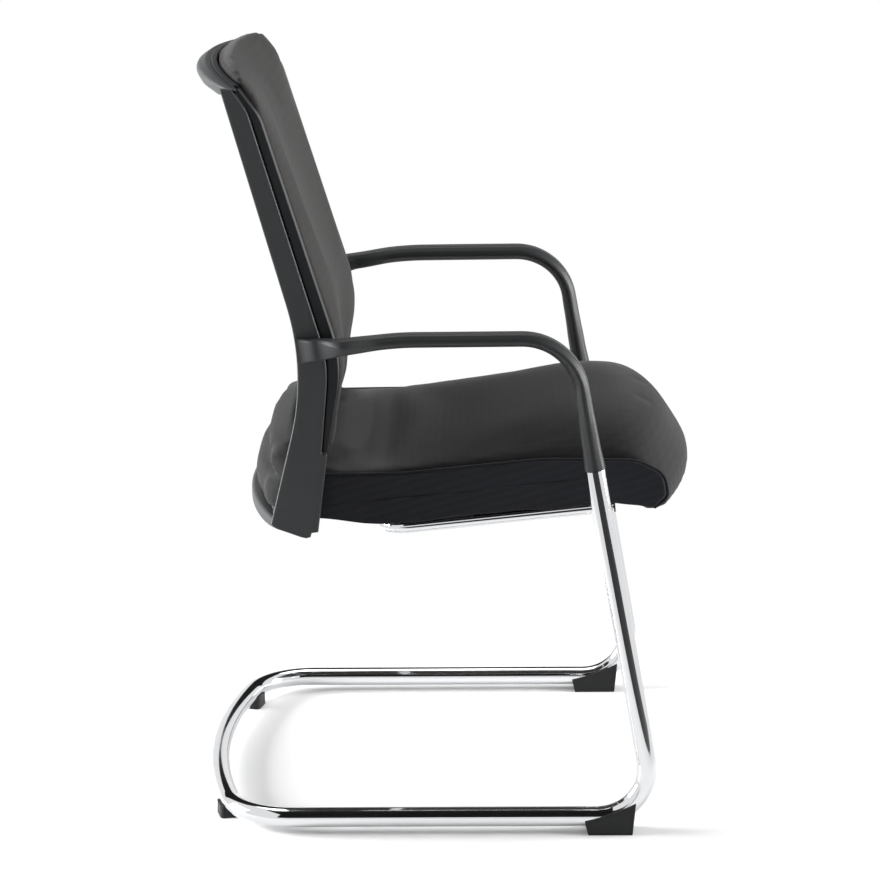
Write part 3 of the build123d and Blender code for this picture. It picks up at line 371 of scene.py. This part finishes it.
def seat_rail():
    """A ring carried round the tilted U, and one along each stub out to its upright."""
    plan = bent_line([(RAIL_FRONT_U, RAIL_HALF), (RAIL_REAR_U, RAIL_HALF),
                      (RAIL_REAR_U, -RAIL_HALF), (RAIL_FRONT_U, -RAIL_HALF)],
                     [RAIL_CORNER_R] * 2, 300)
    path = seat_world(plan[:, 0], plan[:, 1], 0.0)
    skins = [skin(carried(ring(RAIL_R), path, (-np.sin(TILT), 0, np.cos(TILT))))]
    for side in (1, -1):
        ends = side * np.linspace(RAIL_HALF + 4, HALF_TRACK - TUBE_R + 1, 6)
        stub = seat_world(np.full(6, STUB_U), ends, 0.0)
        skins.append(skin(carried(ring(STUB_R, 32), stub, (np.cos(TILT), 0, np.sin(TILT)))))
    return skins


for side, hand in SIDES:
    piece(f"side_tube_{hand}", [side_tube(side)], [f"side_tube_{hand}"], chrome)
piece("rear_tube", [rear_tube()], ["rear_tube"], chrome)
piece("seat_rail", seat_rail(), ["seat_rail"], chrome)


# Armrests

def armrest(side):
    """A bar carried up from the tube, round one bend and back, flattened to a plate at its end.

    Its section is a hexagon with round corners whose side ridges start halfway up and climb to
    the top at the plate, with the outer lower edge lifted; all its sizes are eased on the way.
    """
    line = bent_line([(upright_x(UPRIGHT_TOP_Z), UPRIGHT_TOP_Z), (upright_x(ARM_TOP_Z), ARM_TOP_Z),
                      (ARM_SAG_X, ARM_TOP_Z - 1), (ARM_END_X, ARM_END_Z)],
                     [ARM_BEND_R, ARM_SAG_R], 240)
    share = np.linspace(0, 1, len(line))
    keys = (0, 0.07, 0.17, 0.255, 0.4, 0.58, 0.78, 0.88, 0.95, 1.0)
    high = eased(share, keys, (25, 22, 20, 19.5, 20, 20, 20, 21, 26, 30)) / 2
    wide = eased(share, keys, (25, 26, 29, 32, 35, 36, 35, 27, 13, 7)) / 2
    shift = eased(share, keys, (0, 0, 0, 0, 0, 0, 1, 7, 18, 25.3))
    ridge = eased(share, keys, (0, 0.05, 0.1, 0.1, 0.1, 0.1, 0.1, 0.3, 0.7, 0.85)) * high
    flat = eased(share, keys, (0.45, 0.5, 0.5, 0.5, 0.5, 0.5, 0.5, 0.6, 0.85, 0.9)) * wide
    soft = eased(share, keys, (10, 8, 6, 6, 6, 6, 6, 5, 2.5, 1.5))
    lift = eased(share, keys, (0, 0, 2, 5, 5, 5, 4, 2, 0, 0))
    corners = corner_rows(len(line), [(-flat, -high), (flat, lift - high), (wide, ridge),
                                      (flat, high), (-flat, high), (-wide, ridge)])
    section = rounded_outline(corners, soft[:, None], 8, 4)
    section[..., 0] -= shift[:, None]
    path = np.stack([line[:, 0], np.full(len(line), HALF_TRACK), line[:, 1]], 1)
    rows = carried(section, path, (0, 1, 0))
    clear_of_leg = np.maximum(rows[..., 1], LEG_OUT + 0.2)
    rows[..., 1] = np.where(rows[..., 0] < -118, clear_of_leg, rows[..., 1])
    rows[..., 1] *= side
    return skin(rows)


for side, hand in SIDES:
    piece(f"armrest_{hand}", [armrest(side)], [f"armrest_{hand}"], arm_plastic, 50)


# Back frame: legs, top rail with its rear lip, crossbar and bolt bosses

def blade(front, rear, inner, outer, edge):
    """A bar between a front and a rear edge line in x and z, from inner to outer across."""
    middle, chord = (front + rear) / 2, front - rear
    half, w = np.linalg.norm(chord, axis=1) / 2, abs(outer - inner) / 2
    corners = corner_rows(len(front), [(-half, -w), (half, -w), (half, w), (-half, w)])
    section = rounded_outline(corners, [edge] * 4, 7, 6)
    xz = middle[:, None] + section[..., :1] * (chord / (2 * half[:, None]))[:, None]
    return skin(np.stack([xz[..., 0], (inner + outer) / 2 + section[..., 1], xz[..., 1]], -1))


def leg(side):
    """A tapered bar with a step below the carrier and a foot that slopes down to the front."""
    top_x, step_x = leg_front_x(LEG_TOP_Z), leg_front_x(PAD_LOW_Z)
    front = bent_line([(-244.0, LEG_TOP_Z), (leg_front_x(900.0), 900.0), (KNEE_X, KNEE_Z),
                       (step_x, PAD_LOW_Z + 2), (step_x + 7, PAD_LOW_Z + 1), (FOOT_X + 4, 381.0)],
                      [60.0, 170.0, 1.0, 2.0], 300)
    rear = bent_line([(top_x - 24, LEG_TOP_Z), (KNEE_X - 27, KNEE_Z - 9), (-209.0, 391.0)],
                     [320.0], 300)
    front = np.vstack([front, [(-159.0, 380.0), (-160.5, 374.6), (-165.0, 373.4)]])
    rear = np.vstack([rear, [(-203.0, 386.0), (-190.0, 381.5), (-174.0, 375.5)]])
    return blade(front, rear, side * LEG_IN, side * LEG_OUT, LEG_EDGE_R)


def across(corners, radii, y, close):
    """A section in x and z at each station across, drawn in to its middle by the share close."""
    shape = rounded_outline(corners, radii, 8, 4)
    middle = shape.mean(1, keepdims=True)
    shape = middle + (shape - middle) * close[:, None, None]
    level = np.broadcast_to(y[:, None], shape.shape[:2])
    return skin(np.stack([shape[..., 0], level, shape[..., 1]], -1))


def lip_seam(y):
    """Line where the pad meets the lip of the top rail: a parabola across the chair."""
    return -288 + 45 * (y / LEG_MID)**2


def top_rail():
    """A crescent lip: seam, rim, underside and foot lines bow back by different amounts."""
    y = LEG_OUT * np.sin(np.linspace(-np.pi / 2, np.pi / 2, 91))
    arch, seam = (y / LEG_MID)**2, lip_seam(y)
    foot = -277 + 32 * arch
    corners = corner_rows(91, [(seam + 6, 935 - 8 * arch), (seam - 3, 938 - 9 * arch),
                               (-306 + 56 * arch, 928 - arch),
                               (-296 + 45 * arch, 911 + 14 * arch),
                               (foot, 896 + 27 * arch), (foot + 9, 896 + 27 * arch)])
    close = np.sqrt(np.clip(1 - (np.abs(y) / LEG_OUT)**24, 0.02, 1))
    return across(corners, [1, 5, 8, 14, 3, 2], y, close)


def crossbar():
    """A flat bar from leg to leg, bowed to the rear on one wide arc, thinner behind the legs."""
    y = LEG_MID * np.sin(np.linspace(-np.pi / 2, np.pi / 2, 81))
    x = CROSSBAR_X + CROSSBAR_R - np.sqrt(CROSSBAR_R**2 - y**2)
    rear, front, top = x - CROSSBAR_HALF_DEPTH, x + CROSSBAR_HALF_DEPTH, FOOT_Z + CROSSBAR_H
    corners = corner_rows(81, [(rear, FOOT_Z + 1 + 9 * (y / LEG_MID)**6), (front, FOOT_Z + 1),
                               (front, top), (rear, top)])
    return across(corners, [3, 5, 5, 5], y, np.ones(81))


def boss(y):
    """A short post from the crossbar up to the seat pan, square to the pan's raised rear."""
    top = seat_world(-198.0, y, 14 + (198 + PAN_KNEE_U) * KICK - 0.3)
    lean = TILT - np.arctan(KICK)
    down = np.linspace(0, 9, 5)[:, None] * np.array([np.sin(lean), 0, -np.cos(lean)])
    return skin(carried(ring(9.0, 32), top + down, (0, 1, 0)))


frame_skins = [leg(1), leg(-1), top_rail(), crossbar(), *map(boss, (-184.0, -150.0, 150.0, 184.0))]
piece("back_frame", frame_skins, ["back_frame"], frame_plastic)


# Back carrier: stiles in front of the legs, a band along the lip and two rails behind the panel

def bow(y):
    """How far the back is set rearwards at y: a parabola that ends at the stiles."""
    return BACK_BOW * np.clip(1 - (y / STILE_IN)**2, 0, None)


def stile(side):
    """A strip between the legs' front line and the pad's edge line, turned back at its top."""
    low = PAD_LOW_Z + 4
    rear = bent_line([(leg_front_x(low) + 1.2, low), (KNEE_X + 1.2, KNEE_Z),
                      (leg_front_x(900.0) + 1.2, 900.0), (-242.6, LEG_TOP_Z)], [170.0, 60.0], 140)
    front = bent_line([(leg_front_x(low) + 7, low), (KNEE_X + 16, KNEE_Z),
                       (leg_front_x(892.0) + 12, 892.0), (-236.0, LEG_TOP_Z)], [170.0, 60.0], 140)
    return blade(front, rear, side * STILE_IN, side * STILE_OUT, STILE_EDGE_R)


def stile_web(side):
    """The part of a stile that stands behind it, inside the leg."""
    z = np.linspace(PAD_LOW_Z, PANEL_TOP_Z, 100)
    box = np.array([(-12, STILE_IN), (1.6, STILE_IN), (1.6, LEG_IN - 0.3), (-12, LEG_IN - 0.3)])
    return skin(np.stack([leg_front_x(z)[:, None] + box[:, 0],
                          np.broadcast_to(side * box[:, 1], (100, 4)),
                          np.broadcast_to(z[:, None], (100, 4))], -1))


def top_band():
    """A narrow dark band from stile to stile along the seam between pad and lip."""
    y = (LEG_IN - 1) * np.sin(np.linspace(-np.pi / 2, np.pi / 2, 81))
    x, z = lip_seam(y) + 7, 934 - 10 * (y / LEG_MID)**2
    corners = corner_rows(81, [(x - 4, z - 5), (x + 4, z - 5), (x + 4, z + 5), (x - 4, z + 5)])
    return across(corners, [3] * 4, y, np.ones(81))


def carrier_rail(z):
    """A flat bar from stile to stile, bowed with the back."""
    y = np.linspace(-STILE_IN - 4, STILE_IN + 4, 61)
    heights = np.array([z, z, z + 16.0, z + 16.0])
    x = leg_front_x(heights) + np.array([-12.0, -2.3, -2.3, -12.0])
    return skin(np.stack([x - bow(y)[:, None], np.broadcast_to(y[:, None], (61, 4)),
                          np.broadcast_to(heights, (61, 4))], -1))


carrier_skins = [stile(1), stile(-1), stile_web(1), stile_web(-1), top_band(), carrier_rail(481.0),
                 carrier_rail(864.0)]
piece("back_carrier", carrier_skins, ["back_carrier"], carrier_plastic)


# Upholstery

def pad_rows(count):
    """Side outlines of the back pad at stations across the chair.

    Each is bowed rearwards, puffed out by the swell of its station, bent at the lumbar knee and
    rolled over at the top down to the lip of the top rail.
    """
    share = np.sin(np.linspace(-np.pi / 2, np.pi / 2, count))
    y, rise = share * (STILE_IN + 0.8), swell(share)
    back = bow(y)
    top, jog = BACK_TOP_Z - 4 * share**2 - 12 * (1 - rise), PANEL_TOP_Z + 4
    seam, puff = lip_seam(y) + 11.5, 9 * rise - back
    low_x = leg_front_x(PAD_LOW_Z)
    corners = corner_rows(count, [
        (low_x + 2.3 - back, PAD_LOW_Z), (low_x + 7 + 20 * rise**1.5 - back, PAD_LOW_Z),
        (KNEE_X + 16 + 20 * rise**1.5 - back, KNEE_Z),
        (leg_front_x(top - 24) + 11 + puff, top - 24), (leg_front_x(top) + 1 + puff - 5 * rise, top),
        (seam, np.minimum(top - 4, 941)), (seam + 9, jog),
        (leg_front_x(jog) + 2.3 - back, jog), (KNEE_X + 2.3 - back, KNEE_Z)])
    rows = rounded_outline(corners, [2, 5, 170, 26, 14, 5, 2, 2, 170], 10, 14)
    return np.stack([rows[..., 0], np.broadcast_to(y[:, None], rows.shape[:2]), rows[..., 1]], -1)


def pan_inset(y):
    """How far the round corners of the seat pan draw its ends in at y."""
    out = np.clip(np.abs(y) - PAN_HALF + PAN_CORNER_R, 0, PAN_CORNER_R)
    return PAN_CORNER_R - np.sqrt(PAN_CORNER_R**2 - out**2)


def rear_rolls(y):
    """Rear lines of the cushion at y: lower roll, upper roll, hem, top and the seam between."""
    share = np.clip(y / CUSHION_HALF, -1, 1)
    curl = 1 - np.abs(share)**3
    rear = np.minimum(-188 - 46 * curl, PAN_REAR_U - 9 + pan_inset(y))
    hem, top = 9 + (PAN_KNEE_U - rear) * KICK, 94 + 22 * swell(share)
    return rear, rear + 4 + 15 * curl, hem, top, hem + 0.6 * (top - hem)


def cushion_rows(count):
    """Side outlines of the seat cushion at stations across the chair.

    Crown and heights grow with the swell of the station, nose and rear rolls with its bulge. The
    underside lies on the pan, whose rounded corners it follows, and the nose wraps down before it.
    """
    share = np.sin(np.linspace(-np.pi / 2, np.pi / 2, count))
    y, rise, bulge = share * CUSHION_HALF, swell(share), 1 - share**2
    pan_rear, pan_nose = PAN_REAR_U - 0.7 + pan_inset(y), PAN_NOSE_U + 0.7 - pan_inset(y)
    rear, upper, rear_hem, rear_top, seam_w = rear_rolls(y)
    front, top_w = 280.4 + 37 * bulge, PAN_TOP_W + 0.4
    knee = np.minimum(226.0, pan_nose - 6)
    corners = corner_rows(count, [
        (rear + 8, rear_hem), (pan_rear - 0.5, 12 + (PAN_KNEE_U - pan_rear) * KICK),
        (pan_rear, top_w + (PAN_KNEE_U - pan_rear) * KICK), (PAN_KNEE_U, top_w), (knee, top_w),
        (pan_nose, top_w - (pan_nose - knee) / 4), (pan_nose + 0.5, -3), (front - 3, -11),
        (front + 1, 19), (front - 38, 62 + 33 * rise), (132 + 70 * rise, 73 + 31 * rise),
        (-58, 76.5 + 2 * rise), (upper + 66, 82), (upper + 26, rear_top), (upper + 8, rear_top - 4),
        (upper - 3, seam_w + 16), (upper + 20, seam_w), (rear + 8, seam_w - 5),
        (rear - 2, (seam_w + rear_hem) / 2 - 4)])
    radii = np.stack([np.full(count, r) for r in (
        10, 1, 1, 60, 60, 1, 3, 20, 34, 60, 300 - 180 * rise, 300, 40, 30, 16, 12, 1, 10, 18)], 1)
    rows = rounded_outline(corners, radii, 9, 10)
    return seat_world(rows[..., 0], np.broadcast_to(y[:, None], rows.shape[:2]), rows[..., 1])


# Line of the seam between cushion and side panel, along the rail (u) and square to it (w)
SEAM = [(-186, 85), (-40, 71.5), (132, 71), (248, 57), (279, 36), (281, 6)]


def side_panel(side):
    """A padded cover panel: rings of its outline drawn in as they rise, with a wavy lower hem."""
    corners = [[(-190, 33), (-70, 9), (212, 6), (264, -9), *SEAM[::-1]]]
    radii = [12, 120, 60, 10, 14, 24, 60, 300, 300, 12]
    outline = rounded_outline(corners, radii, 10, 20)[0]
    hem = np.clip((34 - outline[:, 1]) / 20, 0, 1)
    outline[:, 1] += hem * (1.6 * np.sin(outline[:, 0] / 34) + 0.9 * np.sin(outline[:, 0] / 13))
    core = np.stack([np.clip(outline[:, 0], -150, 232), np.full(len(outline), 42.0)], 1)
    depth = np.linspace(0, 1, 24)
    draw = 1 - 0.05 - 0.94 * depth**2
    height = 0.3 + 5.7 * np.sqrt(np.clip(1 - (1 - np.minimum(depth * 4, 1))**2, 0, 1))
    flat = core + (outline - core) * draw[:, None, None]
    pucker = 1 + 0.1 * np.sin(flat[..., 0] / 27) * np.sin(flat[..., 1] / 19)
    y = side * (CUSHION_HALF + 0.3 + height[:, None] * pucker)
    return skin(seat_world(flat[..., 0], y, flat[..., 1]))


def welt(side):
    """A cord carried along the seam between cushion and side panel."""
    line = bent_line([*SEAM, (262, -5)], [300, 300, 60, 24, 14], 240)
    path = seat_world(line[:, 0], side * (CUSHION_HALF + 2.2), line[:, 1])
    return skin(carried(ring(WELT_R, 16), path, (0, 1, 0)))


def inflated(skins, held, cap, cell):
    """A padded form blown up as a cloth bag.

    The form is remeshed into even cells, sewn down where held is true, filled by pressure over
    some frames and smoothed where it is free. No point moves farther than cap from its start.
    """
    scene, (verts, faces) = bpy.context.scene, skins[0]
    mesh = bpy.data.meshes.new("bag")
    mesh.from_pydata((verts * 0.001).tolist(), [], faces)
    bag = bpy.data.objects.new("bag", mesh)
    scene.collection.objects.link(bag)
    cells = bag.modifiers.new("even_cells", "REMESH")
    cells.mode, cells.voxel_size = "VOXEL", cell * 0.001
    smooth = bag.modifiers.new("smooth", "SMOOTH")
    smooth.factor, smooth.iterations = 0.5, 3
    bag.data = bpy.data.meshes.new_from_object(bag.evaluated_get(bpy.context.evaluated_depsgraph_get()))
    bag.modifiers.clear()
    start = mesh_points(bag.data)
    bag.vertex_groups.new(name="sewn").add(np.flatnonzero(held(start)).tolist(), 1.0, "REPLACE")
    cloth = bag.modifiers.new("cloth", "CLOTH")
    cloth.settings.vertex_group_mass = "sewn"
    cloth.settings.use_pressure, cloth.settings.uniform_pressure_force = True, BAG_PRESSURE
    cloth.settings.bending_stiffness = BAG_BENDING
    cloth.settings.effector_weights.gravity = 0.0
    cloth.collision_settings.use_collision = False
    settle = bag.modifiers.new("settle", "SMOOTH")
    settle.factor, settle.iterations = 0.5, 8
    settle.vertex_group, settle.invert_vertex_group = "sewn", True
    for step in range(1, BAG_FRAMES + 1):
        scene.frame_set(step)
    moved = mesh_points(bag.evaluated_get(bpy.context.evaluated_depsgraph_get()).data) - start
    far = np.linalg.norm(moved, axis=1, keepdims=True)
    faces = [list(face.vertices) for face in bag.data.polygons]
    scene.frame_set(1)
    bpy.data.objects.remove(bag)
    return [(start + moved * np.minimum(1, cap / np.maximum(far, 1e-6)), faces)]


def mesh_points(mesh):
    """Points of a mesh in millimetres."""
    flat = np.empty(len(mesh.vertices) * 3, np.float32)
    mesh.vertices.foreach_get("co", flat)
    return flat.reshape(-1, 3).astype(float) * 1000


def pad_sewn(p):
    """True along the back pad's edges and over its rear face."""
    rear = leg_front_x(p[:, 2]) + 5 - bow(p[:, 1])
    return (p[:, 0] < rear) | (np.abs(p[:, 1]) > STILE_IN - 5) | (p[:, 2] < PAD_LOW_Z + 4)


def cushion_sewn(p):
    """True under the seat cushion, along its side seams and in the seam between its rear rolls."""
    u = p[:, 0] * np.cos(TILT) + (p[:, 2] - RAIL_Z) * np.sin(TILT)
    w = -p[:, 0] * np.sin(TILT) + (p[:, 2] - RAIL_Z) * np.cos(TILT)
    _, upper, _, _, seam = rear_rolls(p[:, 1])
    tucked = (np.abs(w - seam) < 12) & (u > upper + 5) & (u < upper + 30)
    return (w < PAN_TOP_W + 4) | (np.abs(p[:, 1]) > CUSHION_HALF - 5) | tucked


pad = piece("back_pad", inflated([skin(pad_rows(121))], pad_sewn, PAD_CAP, PAD_CELL), ["back_pad"],
            back_cloth, 60)
cushion = piece("seat_cushion",
                inflated([skin(cushion_rows(121))], cushion_sewn, CUSHION_CAP, CUSHION_CELL),
                ["seat_cushion"], seat_cloth, 60)
panels = [piece(f"seat_side_panel_{hand}", [side_panel(side)], [f"seat_side_panel_{hand}"],
                side_cloth, 60) for side, hand in SIDES]
piece("seat_welt", [welt(1), welt(-1)], ["seat_welt"], side_cloth, 60)
for sewn in (pad, cushion):
    finer = sewn.modifiers.new("finer", "SUBSURF")
    finer.levels = finer.render_levels = 1

# Finishes of the pieces kept from the solid model
finishes = {
    "rail_plugs": foot_plastic, "rail_saddles": foot_plastic, "front_glide_left": foot_plastic,
    "front_glide_right": foot_plastic, "rear_glide_left": foot_plastic,
    "rear_glide_right": foot_plastic, "back_panel": frame_plastic, "seat_pan": plywood,
    "seat_bolts": zinc, "seat_bolt_washers": zinc, "seat_tee_nuts": zinc, "back_bolts": zinc,
    "back_bolt_washers": zinc, "back_tee_nuts": zinc, "glide_screws": zinc,
    "arm_lock_screws": zinc, "arm_back_screws": zinc, "carrier_screws": zinc,
    "panel_screws": zinc,
}
for node, finish in finishes.items():
    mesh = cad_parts[node].data
    mesh.materials.clear()
    mesh.materials.append(finish)


# Stage, lights and camera

def seen_rays(tree):
    """One for rays from the camera, mirrors and clear things, nought for the rest."""
    path = add_node(tree, "ShaderNodeLightPath")
    pair = add_node(tree, "ShaderNodeMath", [(0, path.outputs["Is Camera Ray"]),
                                             (1, path.outputs["Is Glossy Ray"])], operation="MAXIMUM")
    return add_node(tree, "ShaderNodeMath", [(0, pair.outputs[0]),
                                             (1, path.outputs["Is Transmission Ray"])],
                    operation="MAXIMUM").outputs[0]


def stage_sheet(name, corners, material):
    """A flat four-cornered sheet with one material, linked into the scene."""
    mesh = bpy.data.meshes.new(name)
    mesh.from_pydata(corners, [], [(0, 1, 2, 3)])
    mesh.materials.append(material)
    obj = bpy.data.objects.new(name, mesh)
    bpy.context.scene.collection.objects.link(obj)
    return obj


def pale_floor():
    """White paper that takes shadows near the chair and fades to plain white farther out."""
    mat, tree, shader = new_material("pale_floor", Roughness=0.7, Specular_IOR_Level=0.1,
                                     Base_Color=hex_rgb("#F2F2F2"))
    where = add_node(tree, "ShaderNodeTexCoord").outputs["Object"]
    away = add_node(tree, "ShaderNodeVectorMath", [("Vector", where)], operation="LENGTH")
    fade = add_node(tree, "ShaderNodeMapRange", [("Value", away.outputs["Value"])], From_Min=0.4,
                    From_Max=0.85, interpolation_type="SMOOTHSTEP")
    share = add_node(tree, "ShaderNodeMath", [(0, fade.outputs["Result"]), (1, seen_rays(tree))],
                     operation="MULTIPLY")
    white = add_node(tree, "ShaderNodeEmission", Strength=1.0)
    mixed = add_node(tree, "ShaderNodeMixShader", [("Fac", share.outputs[0]), (1, shader.outputs[0]),
                                                   (2, white.outputs[0])])
    tree.links.new(mixed.outputs[0], tree.nodes["Material Output"].inputs["Surface"])
    return mat


def dark_cards():
    """Black boards seen only in reflections: on the floor, overhead, behind chair and camera."""
    black = new_material("black_card", Base_Color=hex_rgb("#080808"), Roughness=1.0)[0]
    cards = {"floor_card": [(-1.2, -1.6, 0.004), (1.0, -0.3, 0.004), (1.6, -1.5, 0.004),
                            (0.6, -4.6, 0.004)],
             "back_card": [(-6, 5, 1.9), (6, 5, 1.9), (6, 5, 9.4), (-6, 5, 9.4)],
             "wall_card": [(-2.4, -5, 0.9), (2.4, -5, 0.9), (2.4, -5, 5), (-2.4, -5, 5)],
             "ceiling_card": [(-2.4, -5, 5), (2.4, -5, 5), (2.4, 0.2, 5), (-2.4, 0.2, 5)]}
    for name, corners in cards.items():
        card = stage_sheet(name, corners, black)
        card.visible_camera = card.visible_diffuse = card.visible_shadow = False


def lamp(name, place, target, size, watts):
    """A soft lamp of a given width and height at a place, turned to a target."""
    light = bpy.data.lights.new(name, "AREA")
    light.shape, light.size, light.size_y = "RECTANGLE", size[0], size[1]
    light.energy = watts
    obj = bpy.data.objects.new(name, light)
    bpy.context.scene.collection.objects.link(obj)
    place, target = np.array(place, float), np.array(target, float)
    back = (place - target) / np.linalg.norm(place - target)
    side = np.cross((0, 0, 1), back)
    side = side / np.linalg.norm(side)
    m = np.eye(4)
    m[:3, 0], m[:3, 1], m[:3, 2], m[:3, 3] = side, np.cross(back, side), back, place
    obj.matrix_world = Matrix(m.tolist())


def studio_world():
    """White to the camera and to reflections, with a lower plain level for light."""
    world = bpy.data.worlds.new("studio")
    bpy.context.scene.world = world
    world.use_nodes = True
    tree = world.node_tree
    level = add_node(tree, "ShaderNodeMapRange", [("Value", seen_rays(tree))], To_Min=0.25,
                     To_Max=1.0)
    sky = tree.nodes["Background"]
    sky.inputs["Color"].default_value = (1, 1, 1, 1)
    tree.links.new(level.outputs["Result"], sky.inputs["Strength"])


def photo_camera():
    """The camera where it stands in the photograph: place, turn and focal length."""
    yaw, pitch, roll = np.radians(-0.747), np.radians(14.963), np.radians(-0.501)
    ahead = np.array([np.sin(yaw) * np.cos(pitch), np.cos(yaw) * np.cos(pitch), -np.sin(pitch)])
    right = np.array([np.cos(yaw), -np.sin(yaw), 0])
    up = np.cross(right, ahead)
    right, up = (np.cos(roll) * right + np.sin(roll) * up, np.cos(roll) * up - np.sin(roll) * right)
    data = bpy.data.cameras.new("camera")
    data.sensor_fit, data.sensor_width, data.lens = "HORIZONTAL", 36.0, 36.0 * 3131.8 / 880
    cam = bpy.data.objects.new("camera", data)
    bpy.context.scene.collection.objects.link(cam)
    m = np.eye(4)
    m[:3, 0], m[:3, 1], m[:3, 2], m[:3, 3] = right, up, -ahead, (0.047, -3.9103, 1.4795)
    cam.matrix_world = Matrix(m.tolist())
    bpy.context.scene.camera = cam


stage_sheet("floor", [(-30, -30, 0), (30, -30, 0), (30, 30, 0), (-30, 30, 0)], pale_floor())
dark_cards()
studio_world()
lamp("left_softbox", (-3.0, 0.0, 0.9), (0, 0, 0.5), (1.6, 1.5), 240)
lamp("right_softbox", (3.0, -0.2, 0.9), (0, 0, 0.5), (1.4, 1.5), 150)
lamp("top_softbox", (-0.2, 1.0, 3.4), (0, 0, 0.4), (2.4, 1.8), 40)
photo_camera()
bpy.context.scene.view_settings.view_transform = "Standard"
